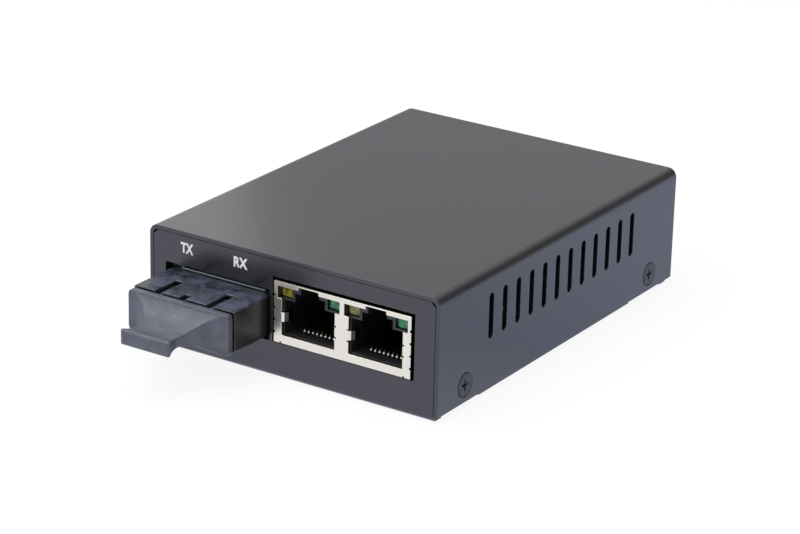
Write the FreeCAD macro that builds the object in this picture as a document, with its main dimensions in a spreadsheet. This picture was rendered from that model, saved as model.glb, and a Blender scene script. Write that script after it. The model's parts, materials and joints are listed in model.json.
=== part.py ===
import FreeCAD, Part
import Sketcher
import math
import os
import re

# Fibre media converter: a folded steel case with a duplex fibre transceiver and two network ports.
#
# Frame: the origin is the middle of the case's underside, +X runs to the right along the front panel,
# +Y from the front panel to the rear, and +Z up. Sizes are in millimetres.

V = FreeCAD.Vector
TINY = 1e-6

# The sizes that can be set by themselves: name, value, meaning.
SIZES = [
    # folded case
    ("case_width", 70.0, "outside width of the cover"),
    ("case_depth", 94.0, "front panel face to rear panel face"),
    ("case_height", 26.0, "underside to the top of the cover"),
    ("sheet", 0.9, "thickness of both steel sheets"),
    ("seam", 0.1, "gap between the cover and the chassis inside it"),
    ("cover_lift", 1.1, "the cover's sides end this far above the underside"),
    ("cover_bend", 2.0, "outside radius of the cover's two long folds"),
    ("chassis_bend", 1.3, "outside radius of the chassis folds"),
    ("panel_corner", 1.0, "corner cut off each panel where the cover folds"),
    # vents in both sides of the cover
    ("vent_count", 12, "slots in each side"),
    ("vent_width", 1.7, "width of one slot"),
    ("vent_height", 9.7, "height of one slot over its round ends"),
    ("vent_pitch", 5.1, "slot to slot"),
    ("vent_level", 16.6, "height of the slots' middle"),
    # countersunk screws that hold the cover to the chassis ears
    ("side_screw_inset", 10.0, "screw axis to the end of the case"),
    ("side_screw_level", 4.85, "screw axis above the underside"),
    ("side_head_radius", 2.45, "radius of the countersunk head"),
    ("screw_end_gap", 0.3, "tip of a cover screw to the board's edge"),
    ("head_play", 0.25, "radial play round a countersunk head"),
    ("thread_radius", 1.5, "outside radius of the thread, M3"),
    ("thread_play", 0.05, "radial play in a tapped hole"),
    ("through_play", 0.2, "radial play in a clearance hole"),
    ("recess_span", 2.3, "cross recess, tip to tip"),
    ("recess_width", 0.6, "width of the recess's arms"),
    ("recess_depth", 1.0, "depth of the recess"),
    ("ear_length", 12.0, "length of a chassis ear along the case"),
    ("ear_height", 7.9, "underside to the top of an ear"),
    ("ear_relief", 0.8, "slot in the floor at each end of an ear"),
    # board and what carries it
    ("standoff_height", 5.45, "floor to the board's underside"),
    ("standoff_radius", 2.9, "across the corners of the hexagon, halved"),
    ("rivet_radius", 2.1, "radius of a standoff's end in the floor"),
    ("board_thickness", 1.6, "thickness of the circuit board"),
    ("board_side_gap", 1.2, "board edge to the ears"),
    ("board_front_gap", 0.4, "board edge to the front panel"),
    ("board_rear_gap", 2.0, "board edge to the rear panel"),
    ("board_hole_inset", 4.5, "board screws to the board's side edges"),
    ("board_hole_front", 41.0, "front board screws to the front panel face"),
    ("board_hole_rear", 8.0, "rear board screws to the rear panel face"),
    ("pan_head_radius", 2.8, "radius of a board screw's head"),
    ("pan_head_height", 1.9, "height of a board screw's head"),
    ("board_screw_length", 5.0, "length of a board screw's shank"),
    # the front panel's width that the transceiver and the jack leave free, shared out beside them
    ("left_share", 0.36, "share of it left of the transceiver"),
    ("middle_share", 0.14, "share of it between transceiver and jack"),
    # twin network jack
    ("jack_height", 13.1, "height over the shield"),
    ("jack_depth", 21.5, "front face to back"),
    ("jack_proud", 0.35, "how far the shield stands out of the panel"),
    ("jack_gap", 0.6, "panel cut-out round the shield"),
    ("shield_sheet", 0.3, "thickness of the shield"),
    ("fit", 0.05, "play between pieces that fit in each other"),
    ("port_pitch", 16.0, "port to port"),
    ("port_margin", 8.25, "a port's middle to the shield's side"),
    ("face_sill", 1.75, "height of the shield's strip under a port"),
    ("led_face_gap", 0.3, "opening in the shield round the lamps"),
    ("led_face_top", 1.0, "height of the shield's strip over the lamps"),
    ("latch_face_half", 2.4, "half the width of the notch over the latch"),
    ("shell_setback", 0.35, "front of the housing behind the shield's face sheet"),
    ("cavity_half", 6.05, "half the width of the plug's cavity"),
    ("cavity_floor", 2.05, "cavity floor above the board"),
    ("cavity_height", 7.2, "height of the cavity"),
    ("cavity_depth", 13.5, "depth of the cavity"),
    ("latch_half", 3.6, "half the width of the latch channel"),
    ("latch_height", 1.85, "height of the latch channel"),
    ("latch_slot_half", 2.2, "half the width of the slot over the channel"),
    ("led_edge", 1.1, "outer side of a lamp to the shield's side, seen from the port"),
    ("led_width", 2.9, "width of a lamp's face"),
    ("led_height", 2.1, "height of a lamp's face"),
    ("led_recess", 0.6, "lamp's face behind the housing's front"),
    ("led_corner", 0.6, "radius of a lamp's edges"),
    ("led_depth", 6.0, "length of a lamp"),
    ("finger_level", 4.55, "underside of the shield's inner fingers above the board"),
    ("finger_height", 2.0, "height of an inner finger"),
    ("finger_depth", 4.2, "length of an inner finger"),
    ("finger_rise", 0.95, "how far a finger's bend stands into the port"),
    ("finger_reach", 1.1, "shield's face to that bend"),
    ("finger_flat", 0.5, "length of the bend's crest"),
    ("finger_relief", 0.35, "notch in the shield's face at each side of a finger's root"),
    ("side_slit", 0.5, "width of the slits in the shield's sides"),
    ("side_slit_top", 3.1, "top of the shield to its first slit"),
    ("side_slit_pitch", 2.6, "slit to slit"),
    ("side_slit_depth", 6.0, "length of the slits"),
    ("fold_notch", 0.35, "notches in the foot of the shield's face"),
    ("fold_notch_inset", 1.6, "those notches to the shield's sides"),
    ("contact_count", 8, "contacts in each port"),
    ("contact_pitch", 1.02, "contact to contact"),
    ("contact_width", 0.45, "width of a contact wire"),
    ("contact_thickness", 0.3, "thickness of a contact wire"),
    ("contact_front", 3.7, "front bend of a contact behind the shield's face"),
    ("contact_length", 7.0, "front bend to tip"),
    ("contact_rise", 2.3, "tip above the cavity floor"),
    ("contact_tail", 16.5, "tail of a contact behind the shield's face"),
    ("contact_slot", 1.1, "depth of the slots under the contacts"),
    # duplex fibre transceiver
    ("nose_width", 25.0, "width of its housing"),
    ("nose_height", 8.7, "height of its housing"),
    ("nose_lift", 0.45, "height of the feet under it"),
    ("nose_reach", 11.0, "how far it stands out of the panel"),
    ("nose_corner", 0.5, "radius of its long edges"),
    ("transceiver_length", 39.6, "length of its housing"),
    ("nose_side_gap", 0.5, "panel cut-out beside the housing"),
    ("nose_top_gap", 1.5, "panel cut-out over the housing"),
    ("nose_bottom_gap", 0.7, "panel cut-out under the housing"),
    ("fibre_pitch", 12.7, "port to port"),
    ("fibre_width", 9.1, "width of a port"),
    ("fibre_height", 7.3, "height of a port"),
    ("fibre_depth", 14.5, "depth of a port"),
    ("key_width", 1.75, "width of a keyway"),
    ("key_length", 7.0, "length of a keyway"),
    ("notch_width", 1.7, "width of the notch between the ports"),
    ("notch_length", 2.0, "length of that notch"),
    ("notch_depth", 1.2, "depth of that notch"),
    ("notch_offset", 0.4, "that notch sits this far left of the housing's middle"),
    ("port_wall", 1.5, "wall behind the ports"),
    ("housing_wall", 1.0, "wall round the rear of the housing"),
    ("foot_radius", 0.9, "radius of the housing's feet"),
    ("can_sheet", 0.4, "thickness of the metal can over the housing"),
    ("can_play", 0.15, "gap between the can and the housing"),
    ("can_skirt", 5.6, "height of the can's sides"),
    ("can_setback", 2.4, "front of the can behind the panel face"),
    ("lip_inset", 2.1, "the can's front lip is this much narrower than the housing on each side"),
    ("lip_offset", 0.5, "the lip's middle sits this far right of the housing's"),
    ("lip_setback", 1.25, "front of the lip behind the panel face"),
    ("sleeve_radius", 1.6, "outside radius of a ferrule sleeve"),
    ("ferrule_radius", 1.25, "inside radius of a ferrule sleeve"),
    ("sleeve_length", 9.2, "length of a ferrule sleeve"),
    ("sleeve_slit", 0.35, "width of the slit along a sleeve"),
    ("clip_tube_radius", 2.05, "outside radius of the tube round a sleeve"),
    ("clip_tube_length", 8.0, "length of that tube"),
    ("clip_base", 1.2, "thickness of a latch clip's base"),
    ("clip_gap", 0.25, "gap between a latch arm and the port's side"),
    ("clip_arm", 0.8, "thickness of a latch arm"),
    ("clip_arm_height", 4.0, "height of a latch arm"),
    ("clip_arm_length", 8.6, "length of a latch arm"),
    ("clip_hook", 0.4, "how far a latch arm's hook stands in"),
    ("optics_radius", 2.4, "radius of an optical element's barrel"),
    ("optics_flange_radius", 3.0, "radius of its flange"),
    ("optics_can_length", 4.0, "length of its can"),
    ("optics_lead_length", 3.0, "length of its leads"),
    ("pin_side_gap", 1.0, "least gap from the transceiver's pin row to its side walls"),
    ("pin_pitch", 2.54, "pin to pin"),
    ("pin_width", 0.5, "width of a square pin"),
    ("pin_hole_radius", 0.5, "radius of a pin's hole in the board"),
    ("pin_setback", 2.6, "pin row to the transceiver's rear face"),
    ("pin_tail", 1.2, "how far a pin stands out under the board"),
    ("inner_board_thickness", 1.0, "thickness of the transceiver's own board"),
    ("lead_lap", 1.5, "the optical elements' leads lie on that board over this length"),
    # dust plug
    ("plug_gap", 0.55, "gap between the plug's plate and the housing"),
    ("plate_side", 0.1, "the plate ends this far inside the housing's sides"),
    ("plate_rise", 0.02, "the plate is this much taller than the housing at each edge"),
    ("plate_drop", 0.22, "the plate's middle sits this far below the housing's"),
    ("plate_thickness", 1.5, "thickness of the plate"),
    ("plate_corner", 0.9, "radius of the plate's corners"),
    ("grip_inset", 0.35, "the grip starts this far inside the plate's edge"),
    ("grip_length", 10.95, "plate to the tip of the grip"),
    ("waist_side_reach", 7.0, "plate to the waist in the grip's sides"),
    ("waist_side_half", 5.15, "half the grip's width at that waist"),
    ("tip_drop", 0.8, "the tip sits this far below the plate's middle"),
    ("waist_top_reach", 7.2, "plate to the lowest place of the grip's top"),
    ("waist_top_half", 1.15, "that place above the tip's middle"),
    ("waist_under_reach", 6.6, "plate to the highest place of the grip's underside"),
    ("waist_under_half", 1.0, "that place below the tip's middle"),
    ("tip_round", 0.6, "rounding of the tip's edges"),
    ("post_height", 6.4, "height of a post"),
    ("post_length", 7.0, "how far a post goes into its port"),
    ("post_play", 0.25, "gap between a post and the clip round it and inside it"),
    ("post_corner", 1.0, "radius of a post's edges"),
    # power socket
    ("power_x", 17.0, "middle of the power socket"),
    ("power_width", 9.0, "width of the socket's housing"),
    ("power_height", 11.0, "height of the socket's housing"),
    ("power_length", 13.2, "length of the socket's housing"),
    ("power_axis", 6.5, "socket axis above the board"),
    ("power_collar_radius", 3.95, "radius of the collar in the rear panel"),
    ("power_collar_gap", 0.3, "radial gap round the collar"),
    ("power_bore_radius", 3.15, "radius of the socket"),
    ("power_bore_depth", 10.0, "depth of the socket"),
    ("power_pin_radius", 1.0, "radius of the centre pin"),
    ("power_pin_length", 8.8, "length of the centre pin"),
    ("power_spring_width", 2.4, "width of the socket's leaf spring"),
    ("power_spring_thickness", 0.3, "thickness of the leaf spring"),
    ("power_spring_length", 8.5, "length of the leaf spring"),
    # components on the board
    ("chip_side", 14.0, "side of the switch chip"),
    ("chip_height", 1.6, "height of the switch chip"),
    ("chip_x", 2.0, "middle of the switch chip"),
    ("chip_gap", 11.0, "switch chip behind the transformer modules"),
    ("chip_lead_count", 11, "leads on each side of the chip"),
    ("chip_lead_pitch", 1.15, "lead to lead on the chip"),
    ("magnetics_width", 12.7, "width of a transformer module"),
    ("magnetics_depth", 9.0, "depth of a transformer module"),
    ("magnetics_height", 5.6, "height of a transformer module"),
    ("magnetics_gap", 3.5, "transformer modules behind the jack"),
    ("magnetics_lead_count", 8, "leads on each long side of a module"),
    ("magnetics_lead_pitch", 1.27, "lead to lead on a module"),
    ("lead_width", 0.5, "width of a component's lead"),
    ("lead_reach", 1.0, "how far a lead stands out"),
    ("lead_thickness", 0.35, "thickness of a lead's foot"),
    ("crystal_length", 11.0, "length of the crystal's can"),
    ("crystal_width", 4.6, "width of the crystal's can"),
    ("crystal_height", 3.5, "height of the crystal's can"),
    ("crystal_x", -15.0, "middle of the crystal"),
    ("capacitor_radius", 3.15, "radius of a capacitor's can"),
    ("capacitor_height", 5.4, "height of a capacitor's can"),
    ("capacitor_base", 6.8, "side of a capacitor's base"),
    ("capacitor_base_height", 1.0, "height of a capacitor's base"),
    ("capacitor_setback", 11.0, "capacitors to the rear panel face"),
    ("input_capacitor_x", 5.0, "middle of the input capacitor"),
    ("output_capacitor_x", -6.0, "middle of the output capacitor"),
    ("inductor_side", 7.2, "side of the power inductor"),
    ("inductor_height", 3.2, "height of the power inductor"),
    ("inductor_x", 0.0, "middle of the inductor"),
    ("inductor_gap", 4.0, "power inductor in front of the capacitors"),
    ("regulator_width", 6.5, "width of the regulator"),
    ("regulator_depth", 3.5, "depth of the regulator"),
    ("regulator_height", 1.6, "height of the regulator"),
    ("regulator_x", 15.0, "middle of the regulator"),
    ("regulator_gap", 8.0, "regulator in front of the power socket"),
    ("resistor_length", 2.0, "length of a chip resistor"),
    ("resistor_width", 1.25, "width of a chip resistor"),
    ("resistor_height", 0.5, "height of a chip resistor"),
    ("resistor_count", 6, "chip resistors in the row"),
    ("resistor_pitch", 2.6, "resistor to resistor"),
    ("resistor_x", -20.0, "first chip resistor"),
    ("resistor_gap", 8.0, "row of chip resistors behind the crystal"),
]

# Places and sizes worked out from those above: name, formula.
DERIVED = [
    ("half_width", "case_width / 2"),
    ("front", "-case_depth / 2"),
    ("rear", "case_depth / 2"),
    ("inner_half", "half_width - sheet"),
    ("inner_top", "case_height - sheet"),
    ("chassis_half", "inner_half - seam"),
    ("panel_top", "inner_top - seam"),
    ("ear_inner", "chassis_half - sheet"),
    ("ear_root", "chassis_half - chassis_bend - seam"),
    ("countersink", "0.95 * sheet"),
    ("side_head_height", "min(side_head_radius - thread_radius; sheet + seam - 2 * fit)"),
    ("side_hole_radius", "max(side_head_radius + head_play - countersink; thread_radius + through_play)"),
    ("front_screw_y", "front + side_screw_inset"),
    ("rear_screw_y", "rear - side_screw_inset"),
    ("standoff_top", "sheet + standoff_height"),
    ("board_top", "standoff_top + board_thickness"),
    ("board_half", "ear_inner - board_side_gap"),
    ("board_front", "front + sheet + board_front_gap"),
    ("board_rear", "rear - sheet - board_rear_gap"),
    ("side_screw_length", "half_width - fit - board_half - screw_end_gap"),
    ("board_hole_x", "board_half - board_hole_inset"),
    ("front_hole_y", "front + board_hole_front"),
    ("rear_hole_y", "rear - board_hole_rear"),
    ("jack_width", "port_pitch + 2 * port_margin"),
    ("free_width", "case_width - nose_width - jack_width"),
    ("nose_left", "left_share * free_width - half_width"),
    ("nose_right", "nose_left + nose_width"),
    ("nose_x", "nose_left + nose_width / 2"),
    ("jack_left", "nose_right + middle_share * free_width"),
    ("jack_right", "jack_left + jack_width"),
    ("jack_x", "jack_left + jack_width / 2"),
    ("jack_face", "front - jack_proud"),
    ("jack_back", "jack_face + jack_depth"),
    ("jack_top", "board_top + jack_height"),
    ("shell_left", "jack_left + shield_sheet + fit"),
    ("shell_right", "jack_right - shield_sheet - fit"),
    ("shell_front", "jack_face + shield_sheet + shell_setback"),
    ("shell_back", "jack_back - shield_sheet - fit"),
    ("shell_top", "jack_top - shield_sheet - fit"),
    ("left_port_x", "jack_x - port_pitch / 2"),
    ("right_port_x", "jack_x + port_pitch / 2"),
    ("cavity_bottom", "board_top + cavity_floor"),
    ("cavity_top", "cavity_bottom + cavity_height"),
    ("latch_top", "cavity_top + latch_height"),
    ("led_top", "jack_top - led_face_top - led_face_gap"),
    ("led_bottom", "led_top - led_height"),
    ("led_outer", "port_margin - led_edge"),
    ("led_inner", "led_outer - led_width"),
    ("led_face_half", "led_outer + led_face_gap"),
    ("face_half", "cavity_half + shield_sheet"),
    ("finger_bottom", "board_top + finger_level"),
    ("finger_top", "finger_bottom + finger_height"),
    ("nose_bottom", "board_top + nose_lift"),
    ("nose_top", "nose_bottom + nose_height"),
    ("nose_level", "nose_bottom + nose_height / 2"),
    ("nose_face", "front - nose_reach"),
    ("nose_back", "nose_face + transceiver_length"),
    ("transmit_x", "nose_x - fibre_pitch / 2"),
    ("receive_x", "nose_x + fibre_pitch / 2"),
    ("port_top", "nose_level + fibre_height / 2"),
    ("port_bottom", "nose_level - fibre_height / 2"),
    ("port_back", "nose_face + fibre_depth"),
    ("wall_back", "port_back + port_wall"),
    ("can_top", "nose_top + can_play + can_sheet"),
    ("can_front", "front + can_setback"),
    ("lip_half", "nose_width / 2 - lip_inset"),
    ("pin_row_y", "nose_back - pin_setback"),
    ("pin_count",
     "floor((nose_width - 2 * housing_wall - 2 * pin_side_gap - pin_width) / pin_pitch) + 1"),
    ("clip_arm_out", "fibre_width / 2 - clip_gap"),
    ("lead_end", "wall_back + fit + optics_can_length + optics_lead_length"),
    ("inner_board_top", "nose_level - pin_width / 2 - fit"),
    ("inner_board_bottom", "inner_board_top - inner_board_thickness"),
    ("inner_board_front", "lead_end - lead_lap"),
    ("inner_board_back", "nose_back - housing_wall - fit"),
    ("plate_back", "nose_face - plug_gap"),
    ("plate_face", "plate_back - plate_thickness"),
    ("plate_width", "nose_width - 2 * plate_side"),
    ("plate_height", "nose_height + 2 * plate_rise"),
    ("plate_level", "nose_level - plate_drop"),
    ("post_half", "clip_arm_out - clip_arm - clip_hook - post_play"),
    ("post_bore_radius", "clip_tube_radius + post_play"),
    ("grip_half", "plate_width / 2 - grip_inset"),
    ("grip_half_height", "plate_height / 2 - grip_inset"),
    ("grip_tip", "plate_face - grip_length"),
    ("side_drop", "grip_half - waist_side_half"),
    ("side_arc", "(waist_side_reach ^ 2 + side_drop ^ 2) / (2 * side_drop)"),
    ("tip_level", "plate_level - tip_drop"),
    ("top_drop", "grip_half_height - waist_top_half + tip_drop"),
    ("top_arc", "(waist_top_reach ^ 2 + top_drop ^ 2) / (2 * top_drop)"),
    ("under_drop", "grip_half_height - waist_under_half - tip_drop"),
    ("under_arc", "(waist_under_reach ^ 2 + under_drop ^ 2) / (2 * under_drop)"),
    ("power_level", "board_top + power_axis"),
    ("power_front", "rear - sheet - fit - power_length"),
    ("power_back", "rear - sheet - fit"),
    ("power_floor", "rear - power_bore_depth"),
    ("magnetics_y", "jack_back + magnetics_gap + magnetics_depth / 2"),
    ("chip_y", "magnetics_y + magnetics_depth / 2 + chip_gap + chip_side / 2"),
    ("crystal_y", "chip_y"),
    ("resistor_y", "crystal_y + crystal_width / 2 + resistor_gap"),
    ("capacitor_y", "rear - capacitor_setback"),
    ("inductor_y", "capacitor_y - capacitor_base / 2 - inductor_gap - inductor_side / 2"),
    ("regulator_y", "power_front - regulator_gap"),
]

doc = FreeCAD.newDocument("fibre_media_converter")
sizes = doc.addObject("Spreadsheet::Sheet", "Sizes")
names = []


def fill_sheet():
    """Writes the driving sizes as plain numbers, then the places that follow from them."""
    rows = [(name, str(number), note) for name, number, note in SIZES]
    rows += [(name, "=" + formula, "worked out") for name, formula in DERIVED]
    for row, (name, cell, note) in enumerate(rows, 1):
        sizes.set(f"A{row}", name)
        sizes.set(f"B{row}", cell)
        sizes.set(f"C{row}", note)
        sizes.setAlias(f"B{row}", name)
        names.append(name)
    doc.recompute()


def ref(formula):
    """A formula in the sheet's names, as an expression that another object can hold."""
    return re.sub(
        r"[a-z_]+", lambda word: ("Sizes." if word[0] in names else "") + word[0], str(formula)
    )


def value(formula):
    """The number that a formula in the sheet's names gives now."""
    return float(sizes.evalExpression(str(formula)))


def bind(thing, **formulas):
    """Ties properties of an object to formulas."""
    for name, formula in formulas.items():
        thing.setExpression(name, ref(formula))


def add(kind, label):
    """A new object of the document, with its label."""
    thing = doc.addObject(kind, label)
    thing.Label = label
    return thing


# ---- solids from primitives -------------------------------------------------------------------


def set_base(thing, x, y, z):
    """Ties an object's place to three formulas."""
    for axis, formula in zip("xyz", (x, y, z)):
        thing.setExpression("Placement.Base." + axis, ref(formula))


def block(label, x, y, z):
    """A box between two corners: x, y and z are (low, high) formulas."""
    box = add("Part::Box", label)
    for name, (low, high) in zip(("Length", "Width", "Height"), (x, y, z)):
        bind(box, **{name: f"({high}) - ({low})"})
    set_base(box, x[0], y[0], z[0])
    return box


AXES = {"x": V(1, 0, 0), "-x": V(-1, 0, 0), "y": V(0, 1, 0), "z": V(0, 0, 1)}


def rod(label, axis, start, length, radius, end_radius=None):
    """A cylinder, or a cone where end_radius is given, from start along an axis."""
    kind = "Part::Cylinder" if end_radius is None else "Part::Cone"
    thing = add(kind, label)
    thing.Placement.Rotation = FreeCAD.Rotation(V(0, 0, 1), AXES[axis])
    if end_radius is None:
        bind(thing, Radius=radius, Height=length)
    else:
        bind(thing, Radius1=radius, Radius2=end_radius, Height=length)
    set_base(thing, *start)
    return thing


def fuse(label, *things):
    """One solid made of several."""
    joined = add("Part::MultiFuse", label)
    joined.Shapes = list(things)
    joined.Refine = True
    return joined


def cut(label, base, *tools):
    """A solid with others taken out of it."""
    result = add("Part::Cut", label)
    result.Base = base
    result.Tool = tools[0] if len(tools) == 1 else fuse(label + "_cutters", *tools)
    return result


def group(label, things):
    """A node of like pieces, each of them a solid of its own."""
    compound = add("Part::Compound", label)
    compound.Links = things
    return compound


# ---- PartDesign bodies ------------------------------------------------------------------------


def new_body(label):
    return add("PartDesign::Body", label)


def new_sketch(body, label, plane, level):
    """A sketch on one of the body's own planes, moved to a level along the axis across it."""
    sketch = body.newObject("Sketcher::SketchObject", label)
    role = plane + "_Plane"
    sketch.AttachmentSupport = [(p, "") for p in body.Origin.OriginFeatures if p.Role == role]
    sketch.MapMode = "FlatFace"
    sign = "-1" if plane == "XZ" else "1"
    sketch.setExpression("AttachmentOffset.Base.z", ref(f"{sign} * ({level})"))
    return sketch


def hold_point(sketch, piece, end, x, y):
    """Fixes a point of a sketch at two formulas."""
    for kind, formula, axis in (("DistanceX", x, -2), ("DistanceY", y, -1)):
        if formula == "0":
            sketch.addConstraint(Sketcher.Constraint("PointOnObject", piece, end, axis))
            continue
        number = sketch.addConstraint(
            Sketcher.Constraint(kind, -1, 1, piece, end, value(formula))
        )
        sketch.setExpression(f"Constraints[{number}]", ref(formula))


def hold_radius(sketch, piece, formula):
    number = sketch.addConstraint(Sketcher.Constraint("Radius", piece, value(formula)))
    sketch.setExpression(f"Constraints[{number}]", ref(formula))


def direction(start, end):
    """Unit step along an axis from one corner to the next."""
    dx, dy = end[0] - start[0], end[1] - start[1]
    return (
        0 if abs(dx) < TINY else int(math.copysign(1, dx)),
        0 if abs(dy) < TINY else int(math.copysign(1, dy)),
    )


def step_from(corner, way, radius):
    """Formulas of the point at a radius from a corner, one way or two ways along the axes."""
    return tuple(f"{c} + {w} * ({radius})" if w else c for c, w in zip(corner, way))


def draw_outline(sketch, corners):
    """A closed outline. A corner is (x, y) or, between sides along the axes, (x, y, radius)."""
    places = [(value(c[0]), value(c[1])) for c in corners]
    stops = []
    for i, corner in enumerate(corners):
        if len(corner) == 2:
            stops.append((corner, corner, None, None, True))
            continue
        xy, radius = corner[:2], corner[2]
        back = direction(places[i], places[i - 1])
        ahead = direction(places[i], places[(i + 1) % len(corners)])
        both = (back[0] + ahead[0], back[1] + ahead[1])
        turns_left = back[0] * ahead[1] - back[1] * ahead[0] < 0
        stops.append((
            step_from(xy, back, radius),
            step_from(xy, ahead, radius),
            step_from(xy, both, radius),
            radius,
            turns_left,
        ))
    runs = []
    for i, (start, end, centre, radius, turns_left) in enumerate(stops):
        if radius is not None:
            middle, reach = V(value(centre[0]), value(centre[1]), 0), value(radius)
            first, last = (start, end) if turns_left else (end, start)
            angles = [
                math.atan2(value(p[1]) - middle.y, value(p[0]) - middle.x) for p in (first, last)
            ]
            if angles[1] < angles[0]:
                angles[1] += 2 * math.pi
            arc = Part.ArcOfCircle(Part.Circle(middle, V(0, 0, 1), reach), *angles)
            piece = sketch.addGeometry(arc)
            runs.append((piece, 1 if turns_left else 2, 2 if turns_left else 1, start, radius))
        onward = stops[(i + 1) % len(stops)][0]
        a = V(value(end[0]), value(end[1]), 0)
        b = V(value(onward[0]), value(onward[1]), 0)
        if (b - a).Length > TINY:
            piece = sketch.addGeometry(Part.LineSegment(a, b))
            runs.append((piece, 1, 2, end, None))
    for i, (piece, near, far, start, radius) in enumerate(runs):
        onward = runs[(i + 1) % len(runs)]
        sketch.addConstraint(Sketcher.Constraint("Coincident", piece, far, onward[0], onward[1]))
        hold_point(sketch, piece, near, *start)
        if radius is not None:
            hold_radius(sketch, piece, radius)


def draw_circle(sketch, x, y, radius):
    centre = V(value(x), value(y), 0)
    piece = sketch.addGeometry(Part.Circle(centre, V(0, 0, 1), value(radius)))
    hold_point(sketch, piece, 3, x, y)
    hold_radius(sketch, piece, radius)


def rectangle(x, y, radius=None):
    """The corners of a rectangle: x and y are (low, high) formulas."""
    corners = [(x[0], y[0]), (x[1], y[0]), (x[1], y[1]), (x[0], y[1])]
    return corners if radius is None else [(*corner, radius) for corner in corners]


def about(middle, half):
    """The (low, high) formulas of a span about its middle."""
    return (f"{middle} - ({half})", f"{middle} + ({half})")


def slab_feature(body, label, kind, plane, low, high, shapes):
    """A pad or pocket between two levels along the axis across the plane."""
    adds = kind == "Pad"
    starts_high = adds == (plane == "XZ")
    sketch = new_sketch(body, label + "_sketch", plane, high if starts_high else low)
    for shape in shapes:
        if isinstance(shape, tuple):
            draw_circle(sketch, *shape)
        else:
            draw_outline(sketch, shape)
    before = body.Tip.Shape.Volume if body.Tip else 0.0
    feature = body.newObject("PartDesign::" + kind, label)
    feature.Profile = sketch
    feature.Type = "Length"
    bind(feature, Length=f"({high}) - ({low})")
    body.Tip = feature
    doc.recompute()
    change = (feature.Shape.Volume - before) * (1 if adds else -1)
    if change < TINY:
        raise ValueError(f"{body.Label}: {label} changes nothing")
    return feature


def pad(body, label, plane, low, high, *shapes):
    """Adds material. A shape is a list of corners, or a circle (x, y, radius)."""
    return slab_feature(body, label, "Pad", plane, low, high, shapes)


def pocket(body, label, plane, low, high, *shapes):
    """Takes material away, as pad adds it."""
    return slab_feature(body, label, "Pocket", plane, low, high, shapes)


def row(body, label, feature, axis, length, count):
    """Repeats a feature along an axis of the body: length is first to last."""
    pattern = body.newObject("PartDesign::LinearPattern", label)
    pattern.Originals = [feature]
    line = [a for a in body.Origin.OriginFeatures if a.Role == axis + "_Axis"][0]
    pattern.Direction = (line, [""])
    bind(pattern, Length=length, Occurrences=count)
    body.Tip = pattern
    doc.recompute()
    return pattern


def line_edges(feature, axis, lines):
    """Edges along an axis that lie on given lines: a line is its other two coordinates."""
    along = "xyz".index(axis)
    across = [i for i in range(3) if i != along]
    targets = [[value(formula) for formula in line] for line in lines]
    found = []
    for number, edge in enumerate(feature.Shape.Edges, 1):
        ends = [vertex.Point for vertex in edge.Vertexes]
        if len(ends) != 2 or abs(ends[0][along] - ends[1][along]) < TINY:
            continue
        for target in targets:
            misses = [abs(p[i] - t) for p in ends for i, t in zip(across, target)]
            if max(misses) < TINY * 100:
                found.append(f"Edge{number}")
                break
    if not found:
        raise ValueError(f"{feature.Label}: no edge lies on those lines")
    return found


def circle_edges(feature, radius, axis, levels):
    """Round edges of a radius at given levels of an axis."""
    along = "xyz".index(axis)
    targets = [value(level) for level in levels]
    found = []
    for number, edge in enumerate(feature.Shape.Edges, 1):
        curve = edge.Curve
        if not isinstance(curve, Part.Circle) or abs(curve.Radius - value(radius)) > TINY * 100:
            continue
        if any(abs(curve.Center[along] - level) < TINY * 100 for level in targets):
            found.append(f"Edge{number}")
    if not found:
        raise ValueError(f"{feature.Label}: no round edge there")
    return found


def dress(body, label, kind, edges, size):
    """A fillet or chamfer on edges of the body's last feature."""
    tip = body.Tip
    feature = body.newObject("PartDesign::" + kind, label)
    feature.Base = (tip, edges)
    bind(feature, **{"Radius" if kind == "Fillet" else "Size": size})
    body.Tip = feature
    doc.recompute()
    return feature


# ---- folded case ------------------------------------------------------------------------------


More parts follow.
